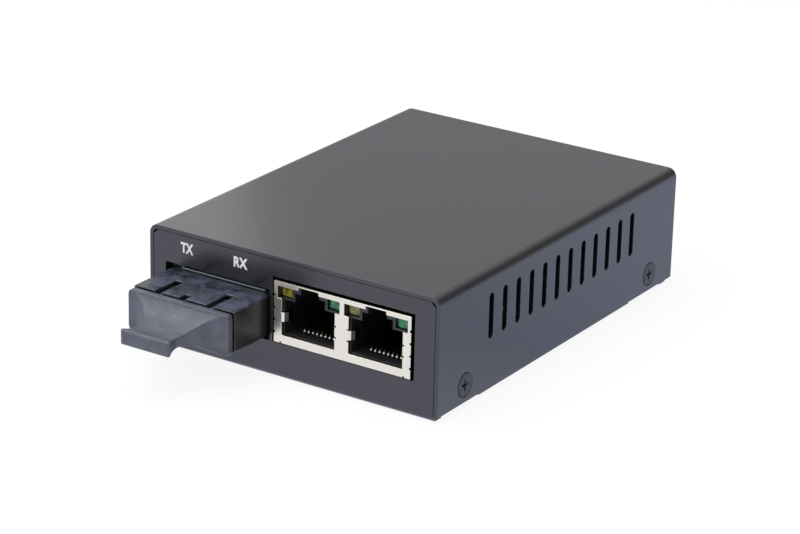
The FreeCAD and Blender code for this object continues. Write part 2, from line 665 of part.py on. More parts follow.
def make_base_chassis():
    """Floor, front panel and rear panel folded from one sheet, with four screw ears."""
    body = new_body("base_chassis")
    inner_bend = "chassis_bend - sheet"
    fold = [
        ("front", "panel_top"),
        ("front", "0", "chassis_bend"),
        ("rear", "0", "chassis_bend"),
        ("rear", "panel_top"),
        ("rear - sheet", "panel_top"),
        ("rear - sheet", "sheet", inner_bend),
        ("front + sheet", "sheet", inner_bend),
        ("front + sheet", "panel_top"),
    ]
    fold_pad = pad(body, "fold", "YZ", "-chassis_half", "chassis_half", fold)
    corners = [(side, "panel_top") for side in ("chassis_half", "-chassis_half")]
    dress(body, "corner_cuts", "Chamfer", line_edges(fold_pad, "y", corners), "panel_corner")

    ear_rows = ("front_screw_y", "rear_screw_y")
    reliefs = []
    for middle in ear_rows:
        span = about(middle, "ear_length / 2 + ear_relief")
        reliefs.append(rectangle(("ear_root", "chassis_half + sheet"), span))
        reliefs.append(rectangle(("-chassis_half - sheet", "-ear_root"), span))
    pocket(body, "ear_reliefs", "XY", "0", "sheet", *reliefs)
    for end, middle in zip(("front", "rear"), ear_rows):
        ears = []
        for side in ("", "-"):
            ears.append([
                (side + "(ear_root - sheet)", "0"),
                (side + "chassis_half", "0", "chassis_bend"),
                (side + "chassis_half", "ear_height"),
                (side + "ear_inner", "ear_height"),
                (side + "ear_inner", "sheet", inner_bend),
                (side + "(ear_root - sheet)", "sheet"),
            ])
        low, high = about(middle, "ear_length / 2")
        pad(body, end + "_ears", "XZ", low, high, *ears)
    screws = [(middle, "side_screw_level", "thread_radius + thread_play") for middle in ear_rows]
    pocket(body, "ear_holes", "YZ", "-half_width", "half_width", *screws)

    fibre_opening = rectangle(
        about("nose_x", "nose_width / 2 + nose_side_gap"),
        ("nose_bottom - nose_bottom_gap", "nose_top + nose_top_gap"),
    )
    jack_opening = rectangle(
        about("jack_x", "jack_width / 2 + jack_gap"), ("board_top - jack_gap / 2", "jack_top + jack_gap")
    )
    pocket(body, "front_openings", "XZ", "front - sheet", "front + 2 * sheet", fibre_opening, jack_opening)
    power_hole = ("power_x", "power_level", "power_collar_radius + power_collar_gap")
    pocket(body, "power_opening", "XZ", "rear - 2 * sheet", "rear + sheet", power_hole)
    rivets = [(x, y, "rivet_radius + fit") for x, y in board_corners()]
    pocket(body, "rivet_holes", "XY", "0", "sheet", *rivets)
    return body


def board_corners():
    """Places of the four board screws, their standoffs and their holes."""
    return [(x, y) for x in ("-board_hole_x", "board_hole_x") for y in ("front_hole_y", "rear_hole_y")]


def make_top_cover():
    """Top and both sides folded from one sheet, with a row of vents and two screw holes a side."""
    body = new_body("top_cover")
    fold = [
        ("-half_width", "cover_lift"),
        ("-inner_half", "cover_lift"),
        ("-inner_half", "inner_top", "cover_bend - sheet"),
        ("inner_half", "inner_top", "cover_bend - sheet"),
        ("inner_half", "cover_lift"),
        ("half_width", "cover_lift"),
        ("half_width", "case_height", "cover_bend"),
        ("-half_width", "case_height", "cover_bend"),
    ]
    pad(body, "fold", "XZ", "front", "rear", fold)
    run = "(vent_count - 1) * vent_pitch"
    slot = rectangle(
        about(f"-{run} / 2", "vent_width / 2"), about("vent_level", "vent_height / 2"), "vent_width / 2"
    )
    first = pocket(body, "vent", "YZ", "-half_width - sheet", "half_width + sheet", slot)
    row(body, "vents", first, "Y", run, "vent_count")
    holes = [(y, "side_screw_level", "side_hole_radius") for y in ("front_screw_y", "rear_screw_y")]
    drilled = pocket(body, "screw_holes", "YZ", "-half_width - sheet", "half_width + sheet", *holes)
    rims = circle_edges(drilled, "side_hole_radius", "x", ("half_width", "-half_width"))
    dress(body, "countersinks", "Chamfer", rims, "side_head_radius + head_play - side_hole_radius")
    return body


def cross_recess(label, across, middle_a, middle_b, depth_span, axis):
    """Two crossed bars that cut a screw's recess. across names the two axes the arms run along."""
    bars = []
    for arm in across:
        spans = {axis: depth_span}
        for name, middle in zip(across, (middle_a, middle_b)):
            half = "recess_span / 2" if name == arm else "recess_width / 2"
            spans[name] = about(middle, half)
        bars.append(block(f"{label}_{arm}_arm", spans["x"], spans["y"], spans["z"]))
    return bars


def make_cover_screws():
    """Four countersunk screws, flush with the cover's sides and threaded into the ears."""
    screws = []
    for side, sign in (("right", 1), ("left", -1)):
        for end in ("front", "rear"):
            label = f"{side}_{end}_screw"
            y = end + "_screw_y"
            face = f"{sign} * (half_width - fit)"
            inward = "-x" if sign > 0 else "x"
            cone = rod(
                label + "_head", inward, (face, y, "side_screw_level"),
                "side_head_height", "side_head_radius", "thread_radius",
            )
            shank = rod(
                label + "_shank", inward, (face, y, "side_screw_level"),
                "side_screw_length", "thread_radius",
            )
            span = (f"{sign} * half_width - ({'recess_depth' if sign > 0 else 'sheet'})",
                    f"{sign} * half_width + ({'sheet' if sign > 0 else 'recess_depth'})")
            arms = cross_recess(label, "yz", y, "side_screw_level", span, "x")
            screws.append(cut(label, fuse(label + "_blank", cone, shank), *arms))
    return group("cover_screws", screws)


# ---- board, standoffs and screws --------------------------------------------------------------


def make_board_standoffs():
    """Four tapped hexagonal standoffs, riveted flush into the floor."""
    posts = []
    for number, (x, y) in enumerate(board_corners(), 1):
        label = f"standoff_{number}"
        hexagon = add("Part::Prism", label + "_hexagon")
        hexagon.Polygon = 6
        bind(hexagon, Circumradius="standoff_radius", Height="standoff_height")
        set_base(hexagon, x, y, "sheet")
        rivet = rod(label + "_rivet", "z", (x, y, "fit"), "sheet", "rivet_radius")
        bore = rod(label + "_bore", "z", (x, y, "sheet"), "2 * standoff_height", "thread_radius + thread_play")
        posts.append(cut(label, fuse(label + "_blank", hexagon, rivet), bore))
    return group("board_standoffs", posts)


def make_circuit_board():
    """The main board, with holes for its screws and for the transceiver's pins."""
    body = new_body("circuit_board")
    edge = rectangle(("-board_half", "board_half"), ("board_front", "board_rear"), "board_side_gap")
    pad(body, "laminate", "XY", "standoff_top", "board_top", edge)
    holes = [(x, y, "thread_radius + through_play") for x, y in board_corners()]
    pocket(body, "screw_holes", "XY", "standoff_top", "board_top", *holes)
    first = ("nose_x - (pin_count - 1) * pin_pitch / 2", "pin_row_y", "pin_hole_radius")
    pin_hole = pocket(body, "pin_hole", "XY", "standoff_top", "board_top", first)
    row(body, "pin_holes", pin_hole, "X", "(pin_count - 1) * pin_pitch", "pin_count")
    return body


def make_board_screws():
    """Four pan head screws through the board into the standoffs."""
    screws = []
    for number, (x, y) in enumerate(board_corners(), 1):
        label = f"board_screw_{number}"
        skirt = rod(label + "_skirt", "z", (x, y, "board_top"), "pan_head_height / 2", "pan_head_radius")
        crown = rod(
            label + "_crown", "z", (x, y, "board_top + pan_head_height / 2"),
            "pan_head_height / 2", "pan_head_radius", "0.75 * pan_head_radius",
        )
        shank = rod(
            label + "_shank", "z", (x, y, "board_top - board_screw_length"),
            "board_screw_length", "thread_radius",
        )
        top = "board_top + pan_head_height"
        arms = cross_recess(label, "xy", x, y, (top + " - recess_depth", top + " + recess_depth"), "z")
        screws.append(cut(label, fuse(label + "_blank", skirt, crown, shank), *arms))
    return group("board_screws", screws)


# ---- twin network jack ------------------------------------------------------------------------

PORTS = (("left", "left_port_x"), ("right", "right_port_x"))


def stepped_opening(x, levels):
    """An outline with a flat bottom that steps in or out upwards: levels are (half width, top)."""
    bottom = levels[0]
    right = [(f"{x} + {bottom[0]}", bottom[1])]
    for i, (half, top) in enumerate(levels[1:]):
        if i:
            right.append((f"{x} + {half}", levels[i][1]))
        right.append((f"{x} + {half}", top))
    left = [(corner[0].replace(f"{x} +", f"{x} -"), corner[1]) for corner in reversed(right)]
    return right + left


def finger_outline(x, side):
    """Seen from above: a finger slopes into the port from the shield's face, then back to its side."""
    def corner(inward, y):
        return (f"{x} {side} (face_half - {inward})", y)

    bend = "jack_face + finger_reach"
    back = "jack_face + finger_depth"
    return [
        corner("0", "jack_face"),
        corner("finger_rise", bend),
        corner("finger_rise", f"{bend} + finger_flat"),
        corner("0", back),
        corner("0", f"{back} - 2 * shield_sheet"),
        corner("(finger_rise - shield_sheet)", f"{bend} + finger_flat / 2"),
        corner("(finger_rise - shield_sheet)", f"{bend} + shield_sheet / 2"),
        corner("0", "jack_face + 1.5 * shield_sheet"),
    ]


def make_jack_shield():
    """Tinned shield folded round the jack, with two stepped port openings and inner fingers."""
    body = new_body("jack_shield")
    outside = rectangle(("jack_left", "jack_right"), ("board_top", "jack_top"))
    pad(body, "box", "XZ", "jack_face", "jack_back", outside)
    inside = rectangle(
        ("jack_left + shield_sheet", "jack_right - shield_sheet"),
        ("board_top - shield_sheet", "jack_top - shield_sheet"),
    )
    pocket(body, "hollow", "XZ", "jack_face + shield_sheet", "jack_back - shield_sheet", inside)
    for port, x in PORTS:
        face = stepped_opening(x, [
            ("face_half", "board_top + face_sill"),
            ("face_half", "led_bottom - led_face_gap / 2"),
            ("led_face_half", "jack_top - led_face_top"),
            ("latch_face_half", "jack_top - shield_sheet"),
        ])
        pocket(body, port + "_opening", "XZ", "jack_face - sheet", "jack_face + 2 * shield_sheet", face)
        pad(body, port + "_fingers", "XY", "finger_bottom", "finger_top",
            finger_outline(x, "-"), finger_outline(x, "+"))
        reliefs = [
            rectangle(about(x, "face_half + finger_relief"), (low, f"{low} + finger_relief"))
            for low in ("finger_bottom - finger_relief", "finger_top")
        ]
        pocket(body, port + "_reliefs", "XZ", "jack_face - sheet", "jack_face + shield_sheet", *reliefs)
    notches = [
        rectangle(about(x, "fold_notch / 2"), ("board_top - sheet", "board_top + fold_notch"))
        for x in ("(jack_left + fold_notch_inset)", "(jack_right - fold_notch_inset)")
    ]
    pocket(body, "fold_notches", "XZ", "jack_face - sheet", "jack_face + shield_sheet", *notches)
    slits = []
    for number in range(4):
        level = f"jack_top - side_slit_top - side_slit_pitch * {number}"
        for low, high in (("jack_left - sheet", "jack_left + shield_sheet"),
                          ("jack_right - shield_sheet", "jack_right + sheet")):
            slits.append(rectangle((low, high), about(level, "side_slit / 2")))
    pocket(body, "side_slits", "XZ", "jack_face - sheet", "jack_face + side_slit_depth", *slits)
    return body


def make_jack_housing():
    """Moulded block behind the shield: two stepped cavities, lamp pockets and contact slots."""
    body = new_body("jack_housing")
    outside = rectangle(("shell_left", "shell_right"), ("board_top", "shell_top"))
    pad(body, "block", "XZ", "shell_front", "shell_back", outside)
    cavity_back = "shell_front + cavity_depth"
    for port, x in PORTS:
        cavity = stepped_opening(x, [
            ("cavity_half", "cavity_bottom"),
            ("cavity_half", "cavity_top"),
            ("latch_half", "latch_top"),
            ("latch_slot_half", "shell_top + fit"),
        ])
        pocket(body, port + "_cavity", "XZ", "shell_front - sheet", cavity_back, cavity)
        lamps = [
            rectangle(span, ("led_bottom - fit", "led_top + fit"))
            for span in lamp_spans(x, "fit").values()
        ]
        pocket(body, port + "_lamp_pockets", "XZ", "shell_front - sheet", "shell_front + led_depth", *lamps)
        windows = rectangle(about(x, "face_half + fit"), about("finger_bottom + finger_height / 2",
                                                               "finger_height / 2 + fit"))
        pocket(body, port + "_finger_windows", "XZ", "shell_front - sheet",
               "jack_face + finger_depth + fit", windows)
        first = rectangle(
            about(f"{x} - (contact_count - 1) * contact_pitch / 2", "contact_width / 2 + fit"),
            ("jack_face + contact_front - contact_slot", "jack_face + contact_tail + contact_slot"),
        )
        slot = pocket(body, port + "_contact_slot", "XY", "board_top", "cavity_bottom", first)
        row(body, port + "_contact_slots", slot, "X", "(contact_count - 1) * contact_pitch", "contact_count")
    return body


def lamp_spans(x, play):
    """The (low, high) widths of a port's two lamps, left and right of its middle."""
    near, far = f"(led_inner - {play})", f"(led_inner + led_width + {play})"
    return {"amber": (f"{x} - {far}", f"{x} - {near}"), "green": (f"{x} + {near}", f"{x} + {far}")}


def make_lamps():
    """An amber and a green lamp over each port, let into the housing."""
    lamps = []
    for port, x in PORTS:
        for colour, span in lamp_spans(x, "0").items():
            body = new_body(f"{port}_{colour}_led")
            face = rectangle(span, ("led_bottom", "led_top"), "led_corner")
            pad(body, "lens", "XZ", "shell_front + led_recess", "shell_front + led_depth - fit", face)
            lamps.append(body)
    return lamps


def contact_wire():
    """One bent contact: tail on the board, leg under the cavity floor, front bend, sloping spring."""
    tail = value("jack_face + contact_tail")
    bend = value("jack_face + contact_front")
    board, thickness = value("board_top"), value("contact_thickness")
    low = value("cavity_bottom - contact_slot + contact_thickness")
    floor = value("cavity_bottom")
    tip = value("contact_length")
    path = [
        (tail, board),
        (tail, low),
        (bend + 2 * thickness, low),
        (bend, (low + floor) / 2 + thickness / 2),
        (bend + 2 * thickness, floor + 2 * thickness),
        (bend + tip, floor + value("contact_rise")),
    ]
    wire = Part.makePolygon([V(0, y, z) for y, z in path])
    strip = wire.makeOffset2D(thickness, join=2, fill=True, openResult=True)
    return Part.Face(strip.Wires[0]).extrude(V(value("contact_width"), 0, 0))


def make_jack_contacts():
    """Eight gold-plated contacts in each port."""
    wire = contact_wire()
    copies = []
    for _, x in PORTS:
        start = value(f"{x} - (contact_count - 1) * contact_pitch / 2 - contact_width / 2")
        for number in range(int(value("contact_count"))):
            copies.append(wire.translated(V(start + number * value("contact_pitch"), 0, 0)))
    feature = add("Part::Feature", "jack_contacts")
    feature.Shape = Part.makeCompound(copies)
    return feature


# ---- duplex fibre transceiver -----------------------------------------------------------------

FIBRES = (("transmit", "transmit_x"), ("receive", "receive_x"))


def make_transceiver_housing():
    """Moulded housing: a nose with two keyed ports, and a rear box open to the board."""
    body = new_body("transceiver_housing")
    outside = rectangle(("nose_left", "nose_right"), ("nose_bottom", "nose_top"), "nose_corner")
    pad(body, "block", "XZ", "nose_face", "nose_back", outside)
    ports = [
        rectangle(about(x, "fibre_width / 2"), ("port_bottom", "port_top"), "nose_corner")
        for _, x in FIBRES
    ]
    pocket(body, "ports", "XZ", "nose_face - sheet", "port_back", *ports)
    mouth = "nose_face - sheet"
    keys = [rectangle(about(x, "key_width / 2"), (mouth, "nose_face + key_length")) for _, x in FIBRES]
    pocket(body, "keyways", "XY", "nose_level", "nose_top + sheet", *keys)
    notch = rectangle(about("(nose_x - notch_offset)", "notch_width / 2"), (mouth, "nose_face + notch_length"))
    pocket(body, "middle_notch", "XY", "nose_top - notch_depth", "nose_top + sheet", notch)
    barrels = [(x, "nose_level", "optics_radius + fit") for _, x in FIBRES]
    pocket(body, "barrel_holes", "XZ", "port_back - fit", "wall_back + fit", *barrels)
    hollow = rectangle(
        about("nose_x", "nose_width / 2 - housing_wall"), ("wall_back", "nose_back - housing_wall")
    )
    pocket(body, "rear_hollow", "XY", "nose_bottom - sheet", "nose_top - housing_wall", hollow)
    feet = [
        (f"nose_x {side} (nose_width / 2 - foot_radius)", y, "foot_radius")
        for side in ("-", "+")
        for y in ("board_front + foot_radius", "nose_back - foot_radius")
    ]
    pad(body, "feet", "XY", "board_top", "nose_bottom + foot_radius", *feet)
    return body


def make_transceiver_can():
    """Sheet metal can over the housing behind the panel, with a lip in the panel's opening."""
    body = new_body("transceiver_can")
    outer = "nose_width / 2 + can_play + can_sheet"
    inner = "nose_width / 2 + can_play"
    skirt = "can_top - can_skirt"
    under = "can_top - can_sheet"
    fold = [
        (f"nose_x - ({outer})", skirt),
        (f"nose_x - ({inner})", skirt),
        (f"nose_x - ({inner})", under),
        (f"nose_x + ({inner})", under),
        (f"nose_x + ({inner})", skirt),
        (f"nose_x + ({outer})", skirt),
        (f"nose_x + ({outer})", "can_top", "can_sheet"),
        (f"nose_x - ({outer})", "can_top", "can_sheet"),
    ]
    pad(body, "fold", "XZ", "can_front", "nose_back", fold)
    lip_span = about("(nose_x + lip_offset)", "lip_half")
    lip = rectangle(lip_span, ("front + lip_setback", "can_front + can_sheet"))
    pad(body, "lip", "XY", under, "can_top", lip)
    return body


def make_latch_clip(port, x):
    """Moulded clip in a port: a base with a tube for the sleeve and two hooked arms."""
    body = new_body(port + "_latch_clip")
    base_front = "port_back - clip_base"
    base = rectangle(about(x, "fibre_width / 2 - fit"), about("nose_level", "fibre_height / 2 - fit"),
                     "nose_corner")
    pad(body, "base", "XZ", base_front, "port_back", base)
    tube = (x, "nose_level", "clip_tube_radius")
    pad(body, "tube", "XZ", f"{base_front} - clip_tube_length", base_front, tube)
    bore = (x, "nose_level", "sleeve_radius + fit")
    pocket(body, "bore", "XZ", f"{base_front} - clip_tube_length - sheet", "port_back + fit", bore)
    for side, sign in (("left", "-"), ("right", "+")):
        out = f"{x} {sign} clip_arm_out"
        inside = f"{x} {sign} (clip_arm_out - clip_arm)"
        hook = f"{x} {sign} (clip_arm_out - clip_arm - clip_hook)"
        height = about("nose_level", "clip_arm_height / 2")
        arm = (out, inside) if sign == "-" else (inside, out)
        catch = (out, hook) if sign == "-" else (hook, out)
        arm_front = f"{base_front} - clip_arm_length"
        pad(body, side + "_arm", "XZ", arm_front, base_front, rectangle(arm, height))
        pad(body, side + "_hook", "XZ", arm_front, f"{arm_front} + clip_arm", rectangle(catch, height))
    return body


def make_sleeve(port, x):
    """Split ferrule sleeve in the clip's tube."""
    label = port + "_sleeve"
    start = (x, "port_back - sleeve_length", "nose_level")
    tube = rod(label + "_tube", "y", start, "sleeve_length", "sleeve_radius")
    bore = rod(label + "_bore", "y", start, "sleeve_length", "ferrule_radius")
    slit = block(label + "_slit", about(x, "sleeve_slit / 2"), ("port_back - sleeve_length", "port_back"),
                 ("nose_level", "nose_level + 2 * sleeve_radius"))
    return cut(label, tube, bore, slit)


def make_optics(port, x):
    """Optical element behind a port: barrel in the wall, flange, can and three leads."""
    label = port + "_optics"
    flange = "wall_back + fit"
    barrel = rod(label + "_barrel", "y", (x, "port_back + fit", "nose_level"), "port_wall", "optics_radius")
    rim = rod(label + "_flange", "y", (x, flange, "nose_level"), "clip_base", "optics_flange_radius")
    can = rod(label + "_can", "y", (x, flange, "nose_level"), "optics_can_length", "optics_radius")
    leads = [
        rod(f"{label}_lead_{number}", "y", (f"{x} + ({number}) * pin_pitch / 2", flange, "nose_level"),
            "lead_end - wall_back - fit", "pin_width / 2")
        for number in (-1, 0, 1)
    ]
    return fuse(label, barrel, rim, can, *leads)


def make_transceiver_board():
    """The transceiver's own small board."""
    return block(
        "transceiver_board",
        about("nose_x", "nose_width / 2 - housing_wall - fit"),
        ("inner_board_front", "inner_board_back"),
        ("inner_board_bottom", "inner_board_top"),
    )


def make_transceiver_pins():
    """Row of square pins from the transceiver's board through the circuit board."""
    first = "nose_x - (pin_count - 1) * pin_pitch / 2"
    pins = [
        block(f"transceiver_pin_{number + 1}", about(f"{first} + {number} * pin_pitch", "pin_width / 2"),
              about("pin_row_y", "pin_width / 2"), ("standoff_top - pin_tail", "inner_board_bottom"))
        for number in range(int(value("pin_count")))
    ]
    return group("transceiver_pins", pins)


# ---- dust plug --------------------------------------------------------------------------------


def make_dust_plug():
    """One moulding: a waisted grip, a plate, and two bored posts that go into the fibre ports.

    The grip is a block with four round scoops, so its sides and its top and underside are hollow,
    and each pair of scoops leaves a waist just behind the tip.
    """
    body = new_body("dust_plug")
    block_outline = rectangle(about("nose_x", "grip_half"), ("grip_tip", "plate_face + plate_thickness / 2"))
    pad(body, "grip_block", "XY", "plate_level - grip_half_height", "plate_level + grip_half_height",
        block_outline)
    side_scoops = [
        (f"nose_x {side} (waist_side_half + side_arc)", "plate_face - waist_side_reach", "side_arc")
        for side in ("-", "+")
    ]
    pocket(body, "side_scoops", "XY", "nose_level - plate_height", "nose_level + plate_height", *side_scoops)
    flat_scoops = [
        ("plate_face - waist_under_reach", "tip_level - (waist_under_half + under_arc)", "under_arc"),
        ("plate_face - waist_top_reach", "tip_level + (waist_top_half + top_arc)", "top_arc"),
    ]
    scooped = pocket(body, "flat_scoops", "YZ", "nose_x - plate_width", "nose_x + plate_width", *flat_scoops)
    tip_edges = [
        f"Edge{number}"
        for number, edge in enumerate(scooped.Shape.Edges, 1)
        if all(abs(vertex.Point.y - value("grip_tip")) < TINY * 100 for vertex in edge.Vertexes)
    ]
    dress(body, "tip_rounding", "Fillet", tip_edges, "tip_round")
    plate = rectangle(about("nose_x", "plate_width / 2"), about("plate_level", "plate_height / 2"), "plate_corner")
    pad(body, "plate", "XZ", "plate_face", "plate_back", plate)
    posts = [
        rectangle(about(x, "post_half"), about("nose_level", "post_height / 2"), "post_corner")
        for _, x in FIBRES
    ]
    post_end = "nose_face + post_length"
    pad(body, "posts", "XZ", "plate_back", post_end, *posts)
    bores = [(x, "nose_level", "post_bore_radius") for _, x in FIBRES]
    pocket(body, "post_bores", "XZ", "plate_back", post_end + " + sheet", *bores)
    return body


# ---- power socket -----------------------------------------------------------------------------


def make_power_socket():
    """Moulded socket on the board, with a round collar flush in the rear panel."""
    body = new_body("power_socket")
    box = rectangle(about("power_x", "power_width / 2"), ("board_top", "board_top + power_height"))
    pad(body, "box", "XZ", "power_front", "power_back", box)
    pad(body, "collar", "XZ", "power_back", "rear - fit", ("power_x", "power_level", "power_collar_radius"))
    pocket(body, "bore", "XZ", "power_floor", "rear + sheet", ("power_x", "power_level", "power_bore_radius"))
    return body


def make_power_pin():
    """Centre pin of the power socket, standing on the floor of the bore."""
    straight = "power_pin_length - power_pin_radius / 2"
    start = ("power_x", "power_floor", "power_level")
    stem = rod("power_pin_stem", "y", start, straight, "power_pin_radius")
    tip = rod("power_pin_tip", "y", ("power_x", f"power_floor + {straight}", "power_level"),
              "power_pin_radius / 2", "power_pin_radius", "power_pin_radius / 2")
    return fuse("power_pin", stem, tip)


def make_power_spring():
    """Leaf spring on the underside of the socket's bore."""
    chord = "sqrt(power_bore_radius ^ 2 - (power_spring_width / 2) ^ 2)"
    bottom = f"power_level - {chord} + fit"
    return block("power_spring", about("power_x", "power_spring_width / 2"),
                 ("power_floor", "power_floor + power_spring_length"),
                 (bottom, f"{bottom} + power_spring_thickness"))


# ---- components on the board ------------------------------------------------------------------


def lead_row(label, x, y, half, axis, count, pitch):
    """Feet of a component on both sides of its middle: the rows run along the axis."""
    feet = []
    for side in (-1, 1):
        for number in range(int(value(count))):
            shift = f"({number} - ({count} - 1) / 2) * {pitch}"
            reach = f"({half} + lead_reach)"
            out = (f"{side} * {reach}", "0") if side < 0 else ("0", reach)
            along = about(f"({x if axis == 'x' else y}) + {shift}", "lead_width / 2")
            middle = y if axis == "x" else x
            across = tuple(f"({middle}) + {o}" for o in out)
            spans = (along, across) if axis == "x" else (across, along)
            name = f"{label}_{axis}_foot_{len(feet) + 1}"
            feet.append(block(name, *spans, ("board_top", "board_top + lead_thickness")))
    return feet


def package(label, x, y, half_x, half_y, height):
    """A moulded component body that stands on the board."""
    return block(label + "_body", about(x, half_x), about(y, half_y),
                 ("board_top", f"board_top + {height}"))


def make_switch_chip():
    half = "chip_side / 2"
    parts = [package("switch_chip", "chip_x", "chip_y", half, half, "chip_height")]
    for axis in "xy":
        parts += lead_row("switch_chip", "chip_x", "chip_y", half, axis, "chip_lead_count", "chip_lead_pitch")
    return fuse("switch_chip", *parts)


def make_magnetics(port, x):
    label = port + "_magnetics"
    half = "magnetics_depth / 2"
    parts = [package(label, x, "magnetics_y", "magnetics_width / 2", half, "magnetics_height")]
    parts += lead_row(label, x, "magnetics_y", half, "x", "magnetics_lead_count", "magnetics_lead_pitch")
    return fuse(label, *parts)


def make_crystal():
    """Drawn metal can with round ends."""
    body = new_body("crystal")
    can = rectangle(about("crystal_x", "crystal_length / 2"), about("crystal_y", "crystal_width / 2"),
                    "crystal_width / 2")
    pad(body, "can", "XY", "board_top", "board_top + crystal_height", can)
    return body


def make_capacitor(label, x):
    """Aluminium can on a square base."""
    half = "capacitor_base / 2"
    base = package(label, x, "capacitor_y", half, half, "capacitor_base_height")
    can = rod(label + "_can", "z", (x, "capacitor_y", "board_top"),
              "capacitor_base_height + capacitor_height", "capacitor_radius")
    return fuse(label, base, can)


def make_inductor():
    half = "inductor_side / 2"
    core = package("power_inductor", "inductor_x", "inductor_y", half, half, "inductor_height")
    dish = rod("power_inductor_dish", "z", ("inductor_x", "inductor_y", "board_top + inductor_height / 2"),
               "inductor_height", "0.4 * inductor_side")
    return cut("power_inductor", core, dish)


def make_regulator():
    half = "regulator_depth / 2"
    parts = [package("voltage_regulator", "regulator_x", "regulator_y", "regulator_width / 2", half,
                     "regulator_height")]
    parts.append(block("voltage_regulator_tab", about("regulator_x", "regulator_width / 4"),
                       ("regulator_y", f"regulator_y + {half} + lead_reach"),
                       ("board_top", "board_top + lead_thickness")))
    for number in (-1, 0, 1):
        parts.append(block(f"voltage_regulator_lead_{number + 2}",
                           about(f"regulator_x + ({number}) * 2 * lead_reach", "lead_width / 2"),
                           (f"regulator_y - {half} - lead_reach", "regulator_y"),
                           ("board_top", "board_top + lead_thickness")))
    return fuse("voltage_regulator", *parts)


def make_chip_resistors():
    chips = [
        block(f"chip_resistor_{number + 1}", about(f"resistor_x + {number} * resistor_pitch", "resistor_width / 2"),
              about("resistor_y", "resistor_length / 2"), ("board_top", "board_top + resistor_height"))
        for number in range(int(value("resistor_count")))
    ]
    return group("chip_resistors", chips)


# ---- the whole converter ----------------------------------------------------------------------


def make_all():
    nodes = [
        make_base_chassis(),
        make_top_cover(),
        make_cover_screws(),
        make_board_standoffs(),
        make_circuit_board(),
        make_board_screws(),
        make_jack_shield(),
        make_jack_housing(),
        make_jack_contacts(),
        *make_lamps(),
        make_transceiver_housing(),
        make_transceiver_can(),
        make_transceiver_board(),
        make_transceiver_pins(),
    ]
    for port, x in FIBRES:
        nodes += [make_latch_clip(port, x), make_sleeve(port, x), make_optics(port, x)]
    nodes += [
        make_dust_plug(),
        make_power_socket(),
        make_power_pin(),
        make_power_spring(),
        make_switch_chip(),
        make_crystal(),
        make_capacitor("input_capacitor", "input_capacitor_x"),
        make_capacitor("output_capacitor", "output_capacitor_x"),
        make_inductor(),
        make_regulator(),
        make_chip_resistors(),
    ]
    nodes += [make_magnetics(port, x) for port, x in PORTS]
    return nodes


def check_all(nodes):
    """Stops if any object failed, or any sub-part is empty or not valid."""
    doc.recompute()
    for thing in doc.Objects:
        if {"Invalid", "Error"} & set(thing.State):
            raise ValueError(f"{thing.Label} failed: {thing.State}")
    for node in nodes:
        if node.Shape.isNull() or not node.Shape.isValid() or not node.Shape.Solids:
            raise ValueError(f"{node.Label} has no valid solid")


def write_all(nodes):
    os.makedirs("parts", exist_ok=True)
    for node in nodes:
        node.Shape.exportStep(f"parts/{node.Label}.step")
        box = node.Shape.BoundBox
        print(f"{node.Label}: {len(node.Shape.Solids)} solid(s), "
              f"{box.XLength:.2f} x {box.YLength:.2f} x {box.ZLength:.2f} mm")


fill_sheet()
made = make_all()
check_all(made)
write_all(made)
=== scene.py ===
"""Fibre media converter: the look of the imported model, laid out as a Blender add-on."""

import json
import math

import bmesh
import bpy
from bpy.props import FloatProperty, FloatVectorProperty, IntProperty, PointerProperty
from mathutils import Matrix, Vector
from mathutils.bvhtree import BVHTree


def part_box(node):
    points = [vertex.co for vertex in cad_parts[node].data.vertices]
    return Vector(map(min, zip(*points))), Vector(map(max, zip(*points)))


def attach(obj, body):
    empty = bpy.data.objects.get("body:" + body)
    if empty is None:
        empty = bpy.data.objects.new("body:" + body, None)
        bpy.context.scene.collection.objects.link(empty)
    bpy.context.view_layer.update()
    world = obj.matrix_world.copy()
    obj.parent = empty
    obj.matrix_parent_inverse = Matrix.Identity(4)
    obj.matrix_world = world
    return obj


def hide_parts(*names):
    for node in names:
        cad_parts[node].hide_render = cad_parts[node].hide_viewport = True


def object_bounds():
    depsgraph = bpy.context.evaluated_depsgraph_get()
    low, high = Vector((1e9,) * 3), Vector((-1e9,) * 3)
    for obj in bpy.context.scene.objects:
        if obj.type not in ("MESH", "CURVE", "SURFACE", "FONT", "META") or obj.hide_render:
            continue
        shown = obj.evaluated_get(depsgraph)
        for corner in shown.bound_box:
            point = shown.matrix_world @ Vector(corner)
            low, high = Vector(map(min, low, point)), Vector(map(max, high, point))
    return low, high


bl_info = {
    "name": "Fibre media converter",
    "version": (1, 0, 0),
    "blender": (4, 5, 0),
    "location": "3D View > Sidebar > Converter",
    "description": "Dresses the packed fibre media converter: coated case, jack, transceiver and dust plug",
    "category": "Object",
}

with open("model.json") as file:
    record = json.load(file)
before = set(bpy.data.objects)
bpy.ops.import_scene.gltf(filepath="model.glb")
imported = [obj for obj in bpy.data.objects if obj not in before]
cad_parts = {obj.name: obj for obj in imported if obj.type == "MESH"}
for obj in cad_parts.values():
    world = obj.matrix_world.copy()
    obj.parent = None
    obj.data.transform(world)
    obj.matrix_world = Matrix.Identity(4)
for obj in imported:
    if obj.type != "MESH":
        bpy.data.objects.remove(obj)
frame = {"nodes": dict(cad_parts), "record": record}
CAD_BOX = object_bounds()
NODES = frame["nodes"]
MM = 0.001

CASE_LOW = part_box("top_cover")[0]
JACK_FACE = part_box("jack_shield")[0].y
CONTACT_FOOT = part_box("jack_contacts")[0].z
NOSE_LOW, NOSE_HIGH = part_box("transceiver_housing")
PLUG_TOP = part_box("dust_plug")[1].z
# The middle of the side vents, over the case's underside.
VENT_LEVEL = 16.6 * MM


# ---- colours and nodes ------------------------------------------------------------------------


